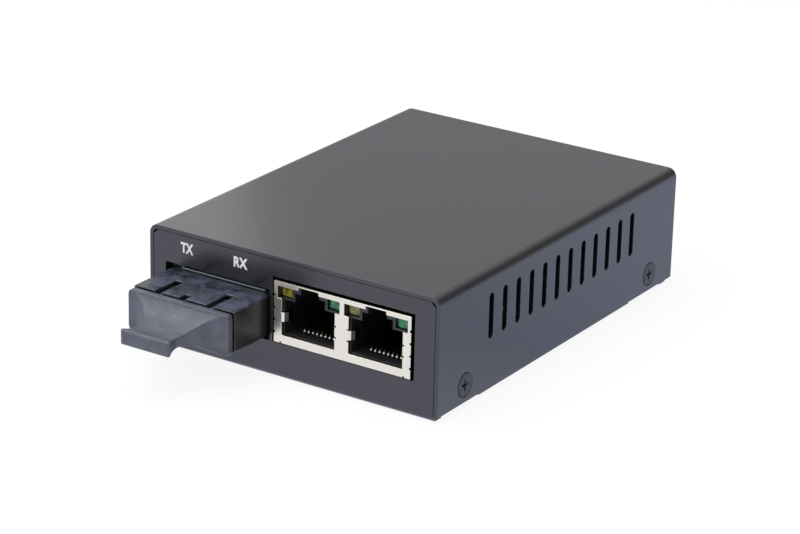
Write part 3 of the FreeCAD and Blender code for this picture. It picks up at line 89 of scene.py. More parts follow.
def srgb(code):
    """A linear RGBA colour from an sRGB hex code."""
    parts = [int(code[i:i + 2], 16) / 255 for i in (1, 3, 5)]
    return tuple(p / 12.92 if p <= 0.04045 else ((p + 0.055) / 1.055) ** 2.4 for p in parts) + (1.0,)


def colour(code, name, description):
    """A colour property with its default."""
    return FloatVectorProperty(
        name=name, description=description, subtype="COLOR", size=4, min=0.0, max=1.0, default=srgb(code)
    )


def length(size, name, description):
    """A length property: the size is in millimetres and is kept in metres."""
    return FloatProperty(name=name, description=description, unit="LENGTH", min=0.0, default=size * MM)


def add_node(tree, kind, settings=None, **inputs):
    """Adds a node: settings are its attributes, inputs its sockets, as values or as other nodes' outputs.

    A socket is named with underscores for spaces, or i0, i1 and so on by its number.
    """
    node = tree.nodes.new(kind)
    for key, setting in (settings or {}).items():
        setattr(node, key, setting)
    for name, source in inputs.items():
        number = name[1:] if name[0] == "i" and name[1:].isdigit() else None
        socket = node.inputs[int(number)] if number else node.inputs[name.replace("_", " ")]
        if isinstance(source, bpy.types.NodeSocket):
            tree.links.new(source, socket)
        else:
            socket.default_value = source
    return node


# ---- finishes ---------------------------------------------------------------------------------


def new_material(name):
    """An empty material, its tree and its output node."""
    material = bpy.data.materials.new(name)
    material.use_nodes = True
    tree = material.node_tree
    tree.nodes.clear()
    return material, tree, add_node(tree, "ShaderNodeOutputMaterial")


def finish(
    name, base, second, mix_mm, roughness, grain_mm, grain_depth, rough_spread=0.08, fade=None, **shader
):
    """A surface of two close colours in soft patches, with a fine grain in its height.

    mix_mm is the size of the patches and grain_mm the size of the grain, grain_depth its height in
    millimetres. fade is an axis, the two places along it between which the surface changes, and the
    colour beyond them. shader holds the rest of the Principled inputs.
    """
    material, tree, output = new_material(name)
    place = add_node(tree, "ShaderNodeTexCoord").outputs["Object"]
    patches = add_node(
        tree, "ShaderNodeTexNoise", Vector=place, Scale=1 / (mix_mm * MM), Detail=3.0, Roughness=0.6
    ).outputs["Fac"]
    grain = add_node(
        tree, "ShaderNodeTexNoise", Vector=place, Scale=1 / (grain_mm * MM), Detail=2.0, Roughness=0.5
    ).outputs["Fac"]
    tint = add_node(
        tree, "ShaderNodeMix", {"data_type": "RGBA"}, i0=patches, i6=tuple(base), i7=tuple(second)
    ).outputs[2]
    if fade:
        axis, near, far, beyond = fade
        along = add_node(tree, "ShaderNodeSeparateXYZ", Vector=place).outputs[axis]
        share = add_node(
            tree, "ShaderNodeMapRange", Value=along, From_Min=near, From_Max=far
        ).outputs["Result"]
        tint = add_node(
            tree, "ShaderNodeMix", {"data_type": "RGBA"}, i0=share, i6=tint, i7=tuple(beyond)
        ).outputs[2]
    rough = add_node(
        tree, "ShaderNodeMapRange", Value=patches, To_Min=roughness - rough_spread,
        To_Max=roughness + rough_spread,
    ).outputs["Result"]
    bump = add_node(tree, "ShaderNodeBump", Height=grain, Distance=grain_depth * MM, Strength=1.0)
    surface = add_node(
        tree, "ShaderNodeBsdfPrincipled", Base_Color=tint, Roughness=rough, Normal=bump.outputs["Normal"],
        **shader,
    )
    tree.links.new(surface.outputs["BSDF"], output.inputs["Surface"])
    return material


def make_finishes(colours):
    """Every finish of the converter, by the name that the pieces use."""
    return {
        # Powder coat, a baked polyester skin on steel: charcoal, satin, with a fine orange peel.
        "powder_coat": finish(
            "black_powder_coat", colours.case, colours.case_patch, 9.0, 0.23, 0.35, 0.004, 0.03, IOR=1.62,
            Specular_IOR_Level=0.75,
        ),
        # Black zinc on a rolled steel screw: dark grey metal, a little uneven.
        "black_zinc": finish(
            "black_zinc_steel", colours.screw, srgb("#3c3c3f"), 0.6, 0.38, 0.10, 0.004, Metallic=0.9
        ),
        # Zinc plate, bluish and bright, as drawn or rolled.
        "zinc_plate": finish(
            "bright_zinc_plate", srgb("#bfc2c4"), srgb("#a6aaac"), 1.5, 0.30, 0.12, 0.003, Metallic=1.0
        ),
        # Turned brass with a nickel flash: warm grey metal.
        "nickel_brass": finish(
            "nickel_plated_brass", srgb("#cfc6b0"), srgb("#b9ae94"), 1.5, 0.28, 0.10, 0.003, Metallic=1.0
        ),
        # Hot tin on thin steel: pale, warm and milky on its face; darker behind the face, inside the ports,
        # as painted shade.
        "tin_plate": finish(
            "tin_plated_steel", colours.shield, srgb("#f8f1da"), 1.2, 0.30, 0.15, 0.002,
            fade=("Y", JACK_FACE + 0.35 * MM, JACK_FACE + 0.50 * MM, srgb("#4a4745")), Metallic=1.0,
        ),
        # Dull nickel on the transceiver's drawn can, with a cold cast.
        "dull_nickel": finish(
            "dull_nickel_plate", srgb("#c4d8dc"), srgb("#abbdc4"), 1.2, 0.34, 0.15, 0.002, Metallic=1.0
        ),
        # Glass filled nylon from an eroded mould: black, dull, finely pitted.
        "black_nylon": finish(
            "moulded_black_nylon", colours.housing, srgb("#19191b"), 1.5, 0.50, 0.12, 0.006, IOR=1.53,
            Specular_IOR_Level=0.75,
        ),
        # Gold flash over nickel on spring bronze.
        "gold_flash": finish(
            "gold_plated_bronze", srgb("#e9cf9a"), srgb("#d9b873"), 0.5, 0.22, 0.08, 0.001, Metallic=1.0
        ),
        # Bronze of the contact springs: near white low down, a painted highlight where the front bend catches
        # light, and dark higher along the spring, painted shade of the cavity.
        "spring_bronze": finish(
            "contact_spring_bronze", srgb("#fffaf2"), srgb("#fbf2e2"), 0.5, 0.34, 0.08, 0.001,
            fade=("Z", CONTACT_FOOT + 2.05 * MM, CONTACT_FOOT + 2.30 * MM, srgb("#3a2f22")), Metallic=1.0,
        ),
        # PBT, the transceiver's moulding: blue-black, with paler, bluer patches on its top face as painted
        # light from above.
        "pbt": moulding_lit_from_above("moulded_pbt", colours.nose, colours.nose_top_light, 0.38, 1.57, NOSE_HIGH.z - 0.25 * MM),
        # Polyethylene of the dust plug: charcoal grey, soft silky sheen, paler and bluer in patches over its
        # upper part as painted light from above, with lint there.
        "polyethylene": moulding_lit_from_above(
            "moulded_polyethylene", colours.plug, colours.plug_top_light, 0.46, 1.51, PLUG_TOP - 7.0 * MM
        ),
        # Zirconia, ground white.
        "zirconia": finish(
            "ground_zirconia", srgb("#f1efe8"), srgb("#e6e3da"), 2.0, 0.22, 0.10, 0.001, IOR=2.1
        ),
        # Epoxy moulding compound of chips: near black, dull.
        "chip_epoxy": finish(
            "chip_moulding_compound", srgb("#1c1c1e"), srgb("#242427"), 1.0, 0.55, 0.10, 0.006, IOR=1.55
        ),
        # Deep drawn aluminium can of a capacitor.
        "drawn_aluminium": finish(
            "drawn_aluminium", srgb("#c9cbcc"), srgb("#b7b9ba"), 1.0, 0.26, 0.15, 0.003, Metallic=1.0
        ),
        # Pressed ferrite: grey-black ceramic, slightly metallic.
        "ferrite": finish(
            "pressed_ferrite", srgb("#2b2b2d"), srgb("#37373a"), 0.8, 0.60, 0.12, 0.010, IOR=1.9
        ),
        # Pad printing ink: opaque white, a little uneven.
        "print_ink": finish(
            "white_printing_ink", colours.ink, srgb("#d9d9dc"), 0.8, 0.55, 0.15, 0.002, IOR=1.5
        ),
        # Epoxy lens of a lamp, tinted through.
        "amber_lens": lens("amber_epoxy_lens", colours.amber),
        "green_lens": lens("green_epoxy_lens", colours.green),
        "solder_mask": solder_mask(colours.board),
    }


def moulding_lit_from_above(name, base, top_light, roughness, ior, level):
    """A dark moulding, paler in patches above a level as painted light from above, with specks of lint there.
    """
    material, tree, output = new_material(name)
    place = add_node(tree, "ShaderNodeTexCoord").outputs["Object"]
    height = add_node(tree, "ShaderNodeSeparateXYZ", Vector=place).outputs["Z"]
    above = add_node(
        tree, "ShaderNodeMapRange", Value=height, From_Min=level - 0.2 * MM, From_Max=level + 0.2 * MM
    ).outputs["Result"]
    patches = add_node(
        tree, "ShaderNodeTexNoise", Vector=place, Scale=1 / (2.6 * MM), Detail=5.0, Roughness=0.62
    ).outputs["Fac"]
    lit_patches = add_node(
        tree, "ShaderNodeMapRange", Value=patches, From_Min=0.38, From_Max=0.60, To_Min=0.10
    ).outputs["Result"]
    share = add_node(tree, "ShaderNodeMath", {"operation": "MULTIPLY"}, i0=above, i1=lit_patches).outputs[0]
    # Painted light: the paler colour is laid in patches on the faces above the level.
    tone = add_node(
        tree, "ShaderNodeMix", {"data_type": "RGBA"}, i0=share, i6=tuple(base), i7=tuple(top_light)
    ).outputs[2]
    cells = add_node(
        tree, "ShaderNodeTexVoronoi", Vector=place, Scale=1 / (0.95 * MM), Randomness=1.0
    ).outputs["Distance"]
    lint = add_node(
        tree, "ShaderNodeMapRange", Value=cells, From_Min=0.06, From_Max=0.12, To_Min=0.42, To_Max=0.0
    ).outputs["Result"]
    specks = add_node(tree, "ShaderNodeMath", {"operation": "MULTIPLY"}, i0=lint, i1=above).outputs[0]
    dusty = add_node(
        tree, "ShaderNodeMix", {"data_type": "RGBA"}, i0=specks, i6=tone, i7=srgb("#b4b9c6")
    ).outputs[2]
    rough = add_node(
        tree, "ShaderNodeMapRange", Value=patches, To_Min=roughness - 0.08, To_Max=roughness + 0.10
    ).outputs["Result"]
    grain = add_node(
        tree, "ShaderNodeTexNoise", Vector=place, Scale=1 / (0.16 * MM), Detail=2.0, Roughness=0.5
    ).outputs["Fac"]
    bump = add_node(tree, "ShaderNodeBump", Height=grain, Distance=0.006 * MM)
    surface = add_node(
        tree, "ShaderNodeBsdfPrincipled", Base_Color=dusty, Roughness=rough, IOR=ior, Specular_IOR_Level=0.75,
        Normal=bump.outputs["Normal"],
    )
    tree.links.new(surface.outputs["BSDF"], output.inputs["Surface"])
    return material


def lens(name, tint):
    """Tinted epoxy: clear enough to glow where light passes, with cloudy streaks from its lead frame."""
    material, tree, output = new_material(name)
    place = add_node(tree, "ShaderNodeTexCoord").outputs["Object"]
    cloud = add_node(
        tree, "ShaderNodeTexNoise", Vector=place, Scale=1 / (1.1 * MM), Detail=2.0, Roughness=0.6
    ).outputs["Fac"]
    contrast = add_node(
        tree, "ShaderNodeMapRange", Value=cloud, From_Min=0.35, From_Max=0.65, To_Min=0.35, To_Max=1.25
    ).outputs["Result"]
    shade = add_node(
        tree, "ShaderNodeVectorMath", {"operation": "SCALE"}, i0=tuple(tint)[:3], Scale=contrast
    ).outputs[0]
    surface = add_node(
        tree, "ShaderNodeBsdfPrincipled", Base_Color=shade, Roughness=0.18, IOR=1.54,
        Subsurface_Weight=0.3, Subsurface_Radius=(1.0, 1.0, 1.0), Subsurface_Scale=0.4 * MM,
        Coat_Weight=0.4, Coat_Roughness=0.05,
    )
    tree.links.new(surface.outputs["BSDF"], output.inputs["Surface"])
    return material


def solder_mask(tint):
    """Green solder mask over copper tracks, which show as lighter, raised lines 0.4 mm wide."""
    material, tree, output = new_material("green_solder_mask")
    place = add_node(tree, "ShaderNodeTexCoord").outputs["Object"]
    tracks = add_node(
        tree, "ShaderNodeTexBrick", {"offset": 0.37, "squash": 1.6, "squash_frequency": 3},
        Vector=place, Scale=1.0, Brick_Width=5.2 * MM, Row_Height=1.3 * MM, Mortar_Size=0.2 * MM,
        Mortar_Smooth=0.2,
    ).outputs["Fac"]
    copper = tuple(min(1.0, c * 2.2) for c in tuple(tint)[:3]) + (1.0,)
    tone = add_node(
        tree, "ShaderNodeMix", {"data_type": "RGBA"}, i0=tracks, i6=tuple(tint), i7=copper
    ).outputs[2]
    bump = add_node(tree, "ShaderNodeBump", Height=tracks, Distance=0.03 * MM)
    surface = add_node(
        tree, "ShaderNodeBsdfPrincipled", Base_Color=tone, Roughness=0.28, IOR=1.5,
        Normal=bump.outputs["Normal"],
    )
    tree.links.new(surface.outputs["BSDF"], output.inputs["Surface"])
    return material


FINISHES = {}


def paint(thing, name):
    """Gives a node or piece its finish."""
    material = FINISHES[name]
    if not thing.material_slots:
        thing.data.materials.append(None)
    for slot in thing.material_slots:
        slot.link = "OBJECT"
        slot.material = material


# ---- pieces -----------------------------------------------------------------------------------


def add_object(name, data):
    """An object of the scene, at the origin."""
    thing = bpy.data.objects.new(name, data)
    bpy.context.scene.collection.objects.link(thing)
    return thing


def make_plain(thing):
    """Turns an object with its modifiers into a plain mesh at the origin."""
    graph = bpy.context.evaluated_depsgraph_get()
    graph.update()
    mesh = bpy.data.meshes.new_from_object(
        thing.evaluated_get(graph), preserve_all_data_layers=True, depsgraph=graph
    )
    mesh.name = thing.name
    thing.modifiers.clear()
    thing.data = mesh


def merged_copy(node, cuts=()):
    """A copy of a CAD node's mesh with its triangles joined and its flat faces made whole.

    cuts are planes, as an axis and a level, through the middle of the node's holes. They part the flat
    faces there, so no face has to run round a hole.
    """
    mesh = NODES[node].data.copy()
    shell = bmesh.new()
    shell.from_mesh(mesh)
    bmesh.ops.remove_doubles(shell, verts=shell.verts, dist=1e-6)
    for axis, level in cuts:
        normal = Vector((axis == "x", axis == "y", axis == "z"))
        parted = bmesh.ops.bisect_plane(
            shell, geom=shell.verts[:] + shell.edges[:] + shell.faces[:], dist=1e-7,
            plane_co=normal * level, plane_no=normal,
        )
        for piece in parted["geom_cut"]:
            if isinstance(piece, bmesh.types.BMEdge):
                piece.seam = True
    bmesh.ops.dissolve_limit(
        shell, angle_limit=math.radians(0.5), verts=shell.verts, edges=shell.edges, delimit={"SEAM"}
    )
    shell.to_mesh(mesh)
    shell.free()
    mesh.materials.clear()
    return mesh


def soften(thing, form, width, segments=2, angle=35.0):
    """Rounds a piece's sharp edges, within the form given, and keeps its flat faces flat in the light."""
    thing.data.shade_smooth()
    bevel = thing.modifiers.new("edges", "BEVEL")
    bevel.width = width
    bevel.segments = segments
    bevel.limit_method = "ANGLE"
    bevel.angle_limit = math.radians(angle)
    bevel.use_clamp_overlap = False
    bevel.miter_outer = "MITER_ARC"
    make_plain(thing)
    settle(thing.data, form, width)
    level = thing.modifiers.new("light", "WEIGHTED_NORMAL")
    level.keep_sharp = True
    make_plain(thing)


def run_group(thing, name, kinds, build, **settings):
    """Makes a geometry node tree with named inputs, runs it on a piece and keeps the plain mesh.

    kinds gives the kind of each input beside the piece and its material, build adds the tree's own nodes
    and returns what they make, and settings are the inputs' values.
    """
    tree = bpy.data.node_groups.new(name, "GeometryNodeTree")
    inputs = {
        title: tree.interface.new_socket(title, in_out="INPUT", socket_type="NodeSocket" + kind).identifier
        for title, kind in {"Piece": "Geometry", **kinds, "Material": "Material"}.items()
    }
    tree.interface.new_socket("Made", in_out="OUTPUT", socket_type="NodeSocketGeometry")
    given = add_node(tree, "NodeGroupInput").outputs
    real = add_node(tree, "GeometryNodeRealizeInstances", Geometry=build(tree, given)).outputs["Geometry"]
    coated = add_node(
        tree, "GeometryNodeSetMaterial", Geometry=real, Material=given["Material"]
    ).outputs["Geometry"]
    tree.links.new(coated, add_node(tree, "NodeGroupOutput").inputs["Made"])
    modifier = thing.modifiers.new(name, "NODES")
    modifier.node_group = tree
    for title, setting in settings.items():
        modifier[inputs[title]] = setting
    make_plain(thing)


def row_nodes(tree, given):
    """The nodes of a row of copies, each a step further on and turned further about the z axis."""
    places = add_node(
        tree, "GeometryNodeMeshLine", Count=given["Count"], Offset=given["Step"]
    ).outputs["Mesh"]
    number = add_node(tree, "GeometryNodeInputIndex").outputs["Index"]
    angle = add_node(
        tree, "ShaderNodeMath", {"operation": "MULTIPLY"}, i0=number, i1=given["Turn"]
    ).outputs[0]
    turned = add_node(tree, "ShaderNodeCombineXYZ", Z=angle).outputs[0]
    return add_node(
        tree, "GeometryNodeInstanceOnPoints", Points=places, Instance=given["Piece"], Rotation=turned
    ).outputs["Instances"]


def repeat(thing, material, count, step=(0.0, 0.0, 0.0), turn=0.0):
    """Makes a piece a row of copies, each a step further on and turned further."""
    kinds = {"Count": "Int", "Step": "Vector", "Turn": "Float"}
    run_group(thing, "row", kinds, row_nodes, Material=material, Count=count, Step=step, Turn=turn)


def wire_nodes(tree, given):
    """The nodes of a wire of rounded rectangular section along edges, with its corners bent round."""
    spine = add_node(tree, "GeometryNodeMeshToCurve", Mesh=given["Piece"]).outputs["Curve"]
    bent = add_node(
        tree, "GeometryNodeFilletCurve", {"mode": "POLY"}, Curve=spine, Radius=given["Bend"], Count=5
    ).outputs["Curve"]
    box = add_node(
        tree, "GeometryNodeCurvePrimitiveQuadrilateral", Width=given["Width"], Height=given["Thickness"]
    ).outputs["Curve"]
    corner = add_node(
        tree, "ShaderNodeMath", {"operation": "MULTIPLY"}, i0=given["Thickness"], i1=0.35
    ).outputs[0]
    section = add_node(
        tree, "GeometryNodeFilletCurve", {"mode": "POLY"}, Curve=box, Radius=corner, Count=2
    ).outputs["Curve"]
    return add_node(
        tree, "GeometryNodeCurveToMesh", Curve=bent, Profile_Curve=section, Fill_Caps=True
    ).outputs["Mesh"]


def draw_wire(thing, material, width, thickness, bend):
    """Makes a piece's edges a wire with rounded bends."""
    kinds = {"Width": "Float", "Thickness": "Float", "Bend": "Float"}
    run_group(
        thing, "wire", kinds, wire_nodes, Material=material, Width=width, Thickness=thickness, Bend=bend
    )


def settle(mesh, form, reach):
    """Puts back on a form the corners that a rounding threw off it, where edges meet at a narrow angle."""
    tree = BVHTree.FromPolygons([v.co for v in form.vertices], [p.vertices for p in form.polygons])
    for vertex in mesh.vertices:
        spot, _, _, distance = tree.find_nearest(vertex.co)
        if distance > reach:
            vertex.co = spot


def dress_node(node, piece, coat, width, segments=2, cuts=()):
    """A piece that stands for a CAD node, with the same form and rounded edges."""
    thing = add_object(piece, merged_copy(node, cuts))
    soften(thing, NODES[node].data, width, segments)
    paint(thing, coat)
    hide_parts(node)
    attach(thing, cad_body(node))


def middle_of(node):
    """The middle of a CAD node's box."""
    low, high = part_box(node)
    return (low + high) / 2


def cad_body(node):
    """The CAD body that a node belongs to."""
    bodies = frame["record"]["behaviour"]["bodies"]
    return next(body for body, held in bodies.items() if node in held)


# ---- properties -------------------------------------------------------------------------------


class ConverterSizes(bpy.types.PropertyGroup):
    """Sizes of the dressing that the frame doesn't give"""

    sheet_edge: length(0.07, "Sheet edge", "Rounding of the case's cut edges")
    mould_edge: length(0.18, "Moulded edge", "Rounding of the transceiver's moulded edges")
    can_edge: length(0.06, "Can edge", "Rounding of the transceiver can's edges")
    socket_edge: length(0.15, "Socket edge", "Rounding of the power socket's edges")
    shield_edge: length(0.05, "Shield edge", "Rounding of the thin shield's edges")
    lamp_edge: length(0.15, "Lamp edge", "Rounding of the lamps' edges")
    screw_edge: length(0.05, "Screw edge", "Rounding of the cover screws' edges")
    plug_grid: length(0.16, "Plug grid", "Fineness of the dust plug's mesh")
    thread_size: length(3.0, "Thread size", "Outside diameter of the cover screws' thread")
    thread_pitch: length(0.5, "Thread pitch", "Ring to ring on the cover screws")
    recess_span: length(2.3, "Recess span", "Cross recess of the cover screws, tip to tip")
    recess_arm: length(0.6, "Recess arm", "Width of that recess's arms")
    recess_depth: length(1.0, "Recess depth", "Depth of that recess")
    contact_width: length(0.45, "Contact width", "Width of a jack contact's wire")
    contact_thickness: length(0.3, "Contact thickness", "Thickness of that wire")
    contact_pitch: length(1.02, "Contact pitch", "Contact to contact")
    contact_bend: length(0.3, "Contact bend", "Radius of a jack contact's bends")
    contact_leg: length(1.4, "Contact leg", "Foot of a jack contact up to its lying leg")
    contact_front: length(0.42, "Contact front", "That leg up to the front of the bend")
    contact_rise: length(1.11, "Contact rise", "That leg up to the start of the spring")
    contact_tip: length(6.06, "Contact tip", "Tail of a jack contact to the tip of its spring")
    contact_count: IntProperty(name="Contacts", description="Contacts in each port", default=8, min=2)
    letter_height: length(2.3, "Letter height", "Height of the print over the fibre ports")
    letter_level: length(21.4, "Letter level", "Underside of the case to the foot of the print")


class ConverterColours(bpy.types.PropertyGroup):
    """Colours of the finishes"""

    case: colour("#141417", "Case", "Powder coat")
    case_patch: colour("#17171b", "Case patches", "Slight unevenness of the coat")
    screw: colour("#5d5d62", "Screws", "Black zinc")
    shield: colour("#fff8e0", "Shield", "Tin plate")
    housing: colour("#0c0c0e", "Jack moulding", "Black nylon")
    nose: colour("#121215", "Transceiver", "Moulded housing")
    # The paler top colours of the transceiver and the dust plug are painted light from above.
    nose_top_light: colour("#444858", "Transceiver rub", "Painted light from above")
    plug: colour("#404249", "Dust plug", "Moulded plug")
    plug_top_light: colour("#50535e", "Dust plug rub", "Lighter patches")
    amber: colour("#8a8420", "Amber lamp", "Unlit amber lens")
    green: colour("#1f8a58", "Green lamp", "Unlit green lens")
    board: colour("#0e4a26", "Board", "Solder mask")
    ink: colour("#f4f4f4", "Ink", "White print")


# ---- operators --------------------------------------------------------------------------------


class CONVERTER_OT_case(bpy.types.Operator):
    """Dresses the folded cover and the chassis"""

    bl_idname = "converter.case"
    bl_label = "Case"

    def execute(self, context):
        edge = context.scene.converter_sizes.sheet_edge
        screws = ("z", middle_of("cover_screws").z)
        sides = (("z", VENT_LEVEL), screws)
        panels = [("x", middle_of(node).x) for node in ("transceiver_housing", "jack_shield", "power_pin")]
        dress_node("top_cover", "cover_shell", "powder_coat", edge, cuts=sides)
        dress_node("base_chassis", "chassis_shell", "powder_coat", edge, cuts=(*panels, screws))
        return {"FINISHED"}


class CONVERTER_OT_screws(bpy.types.Operator):
    """Dresses the cover's and the board's screws and the standoffs"""

    bl_idname = "converter.screws"
    bl_label = "Screws"

    def execute(self, context):
        self.cover_screws(context.scene.converter_sizes)
        paint(NODES["board_screws"], "zinc_plate")
        paint(NODES["board_standoffs"], "nickel_brass")
        return {"FINISHED"}

    def cover_screws(self, sizes):
        """Countersunk screws with a tapered cross recess: one is built and the rest are its copies."""
        low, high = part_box("cover_screws")
        head = (high.z - low.z) / 2
        level = (high.z + low.z) / 2
        shank = sizes.thread_size / 2
        reach = high.x - min(abs(v.co.x) for v in NODES["cover_screws"].data.vertices)
        shell = bmesh.new()
        self.turn_body(shell, head, shank, reach, sizes.thread_pitch)
        mesh = bpy.data.meshes.new("cover_screw_set")
        shell.to_mesh(mesh)
        shell.free()
        thing = add_object("cover_screw_set", mesh)
        recess = self.cross(sizes.recess_span, sizes.recess_arm, sizes.recess_depth)
        cutter = add_object("recess_cutter", recess)
        cut = thing.modifiers.new("recess", "BOOLEAN")
        cut.operation = "DIFFERENCE"
        cut.solver = "EXACT"
        cut.object = cutter
        make_plain(thing)
        bpy.data.objects.remove(cutter)
        face_out = Matrix.Rotation(math.radians(90), 4, "Y")
        thing.data.transform(Matrix.Translation((high.x, low.y + head, level)) @ face_out)
        span = high.y - low.y - 2 * head
        zinc = FINISHES["black_zinc"]
        repeat(thing, zinc, 2, step=(0.0, span, 0.0))
        repeat(thing, zinc, 2, turn=math.pi)
        soften(thing, NODES["cover_screws"].data, sizes.screw_edge, angle=40.0)
        paint(thing, "black_zinc")
        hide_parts("cover_screws")
        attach(thing, "root")

    def turn_body(self, shell, head, shank, reach, pitch):
        """Turns the screw about the z axis, its flat head at the origin and its thread as rings below."""
        rings = int((reach - (head - shank)) / pitch)
        groove = 0.3 * pitch
        profile = [(0.0, 0.0), (head, 0.0), (shank, shank - head)]
        for number in range(rings):
            start = shank - head - number * pitch
            profile += [(shank - groove, start - pitch / 2), (shank, start - pitch)]
        profile += [(shank - groove, -reach), (0.0, -reach)]
        points = [shell.verts.new((r, 0.0, z)) for r, z in profile]
        edges = [shell.edges.new(pair) for pair in zip(points, points[1:])]
        bmesh.ops.spin(
            shell, geom=points + edges, cent=(0, 0, 0), axis=(0, 0, 1), angle=math.tau, steps=64,
            use_merge=True,
        )
        bmesh.ops.remove_doubles(shell, verts=shell.verts, dist=1e-7)
        bmesh.ops.recalc_face_normals(shell, faces=shell.faces)

    def cross(self, span, arm, depth):
        """The cutter of a cross recess: a cross whose arms narrow with their depth."""
        half, edge = span / 2, arm / 2
        above, taper = 0.3 * depth, 0.5
        arms = [(half, -edge), (half, edge), (edge, edge)]
        outline = []
        for _ in range(4):
            outline += arms
            arms = [(-y, x) for x, y in arms]
        shell = bmesh.new()
        over = [shell.verts.new((x, y, above)) for x, y in outline]
        foot = [shell.verts.new((taper * x, taper * y, -depth)) for x, y in outline]
        shell.faces.new(over)
        shell.faces.new(list(reversed(foot)))
        for here in range(len(outline)):
            shell.faces.new((over[here - 1], foot[here - 1], foot[here], over[here]))
        bmesh.ops.recalc_face_normals(shell, faces=shell.faces)
        mesh = bpy.data.meshes.new("recess_cutter")
        shell.to_mesh(mesh)
        shell.free()
        return mesh


class CONVERTER_OT_network_jack(bpy.types.Operator):
    """Dresses the twin network jack: shield, housing, contacts and lamps"""

    bl_idname = "converter.network_jack"
    bl_label = "Network jack"

    def execute(self, context):
        sizes = context.scene.converter_sizes
        ports = [
            ("x", (middle_of(f"{side}_amber_led").x + middle_of(f"{side}_green_led").x) / 2)
            for side in ("left", "right")
        ]
        dress_node("jack_shield", "shield_shell", "tin_plate", sizes.shield_edge, cuts=ports)
        paint(NODES["jack_housing"], "black_nylon")
        self.contacts(sizes)
        for side in ("left", "right"):
            for tint in ("amber", "green"):
                node, piece = f"{side}_{tint}_led", f"{side}_{tint}_lamp"
                dress_node(node, piece, f"{tint}_lens", sizes.lamp_edge, segments=3)
        return {"FINISHED"}

    def contacts(self, sizes):
        """Spring contacts of both ports: tail, leg under the cavity's floor, front bend, sloping spring."""
        low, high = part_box("jack_contacts")
        half = sizes.contact_thickness / 2
        leg = low.z + sizes.contact_leg
        first = low.x + sizes.contact_width / 2
        route = [
            (high.y - half, low.z),
            (high.y - half, leg),
            (low.y + 3 * half, leg),
            (low.y + half, leg + sizes.contact_front),
            (low.y + 4 * half, leg + sizes.contact_rise),
            (high.y - sizes.contact_tip, high.z - half),
        ]
        edges = [(number, number + 1) for number in range(len(route) - 1)]
        mesh = bpy.data.meshes.new("contact_set")
        mesh.from_pydata([(first, y, z) for y, z in route], edges, [])
        thing = add_object("contact_set", mesh)
        bronze = FINISHES["spring_bronze"]
        draw_wire(thing, bronze, sizes.contact_width, sizes.contact_thickness, sizes.contact_bend)
        count = sizes.contact_count
        port = (count - 1) * sizes.contact_pitch + sizes.contact_width
        repeat(thing, bronze, count, step=(sizes.contact_pitch, 0.0, 0.0))
        repeat(thing, bronze, 2, step=(high.x - low.x - port, 0.0, 0.0))
        thing.data.shade_smooth()
        paint(thing, "spring_bronze")
        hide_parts("jack_contacts")
        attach(thing, "root")


class CONVERTER_OT_transceiver(bpy.types.Operator):
    """Dresses the duplex fibre transceiver"""

    bl_idname = "converter.transceiver"
    bl_label = "Fibre transceiver"

    def execute(self, context):
        sizes = context.scene.converter_sizes
        fibres = [("x", middle_of(end + "_sleeve").x) for end in ("transmit", "receive")]
        dress_node("transceiver_housing", "nose_moulding", "pbt", sizes.mould_edge, cuts=fibres)
        dress_node("transceiver_can", "can_shell", "dull_nickel", sizes.can_edge)
        for end in ("transmit", "receive"):
            paint(NODES[end + "_latch_clip"], "pbt")
            paint(NODES[end + "_sleeve"], "zirconia")
            paint(NODES[end + "_optics"], "nickel_brass")
        paint(NODES["transceiver_board"], "solder_mask")
        paint(NODES["transceiver_pins"], "gold_flash")
        return {"FINISHED"}


class CONVERTER_OT_dust_plug(bpy.types.Operator):
    """Dresses the dust plug"""

    bl_idname = "converter.dust_plug"
    bl_label = "Dust plug"

    def execute(self, context):
        sizes = context.scene.converter_sizes
        thing = add_object("plug_moulding", NODES["dust_plug"].data.copy())
        thing.data.materials.clear()
        thing.data.shade_smooth()
        grid = thing.modifiers.new("grid", "REMESH")
        grid.mode = "VOXEL"
        grid.voxel_size = sizes.plug_grid
        grid.use_smooth_shade = True
        melt = thing.modifiers.new("melt", "SMOOTH")
        melt.factor = 0.5
        melt.iterations = 4
        lean = thing.modifiers.new("lean", "DECIMATE")
        lean.ratio = 0.35
        make_plain(thing)
        settle(thing.data, NODES["dust_plug"].data, sizes.plug_grid)
        paint(thing, "polyethylene")
        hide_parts("dust_plug")
        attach(thing, "dust_plug")
        return {"FINISHED"}


class CONVERTER_OT_power_socket(bpy.types.Operator):
    """Dresses the power socket"""

    bl_idname = "converter.power_socket"
    bl_label = "Power socket"

    def execute(self, context):
        edge = context.scene.converter_sizes.socket_edge
        dress_node("power_socket", "socket_moulding", "black_nylon", edge)
        paint(NODES["power_pin"], "zinc_plate")
        paint(NODES["power_spring"], "zinc_plate")
        return {"FINISHED"}


class CONVERTER_OT_board(bpy.types.Operator):
    """Finishes the circuit board and what stands on it"""

    bl_idname = "converter.board"
    bl_label = "Circuit board"

    coats = {
        "circuit_board": "solder_mask",
        "switch_chip": "chip_epoxy",
        "left_magnetics": "chip_epoxy",
        "right_magnetics": "chip_epoxy",
        "voltage_regulator": "chip_epoxy",
        "chip_resistors": "chip_epoxy",
        "crystal": "zinc_plate",
        "power_inductor": "ferrite",
        "input_capacitor": "drawn_aluminium",
        "output_capacitor": "drawn_aluminium",
    }

    def execute(self, context):
        for node, coat in self.coats.items():
            paint(NODES[node], coat)
        return {"FINISHED"}


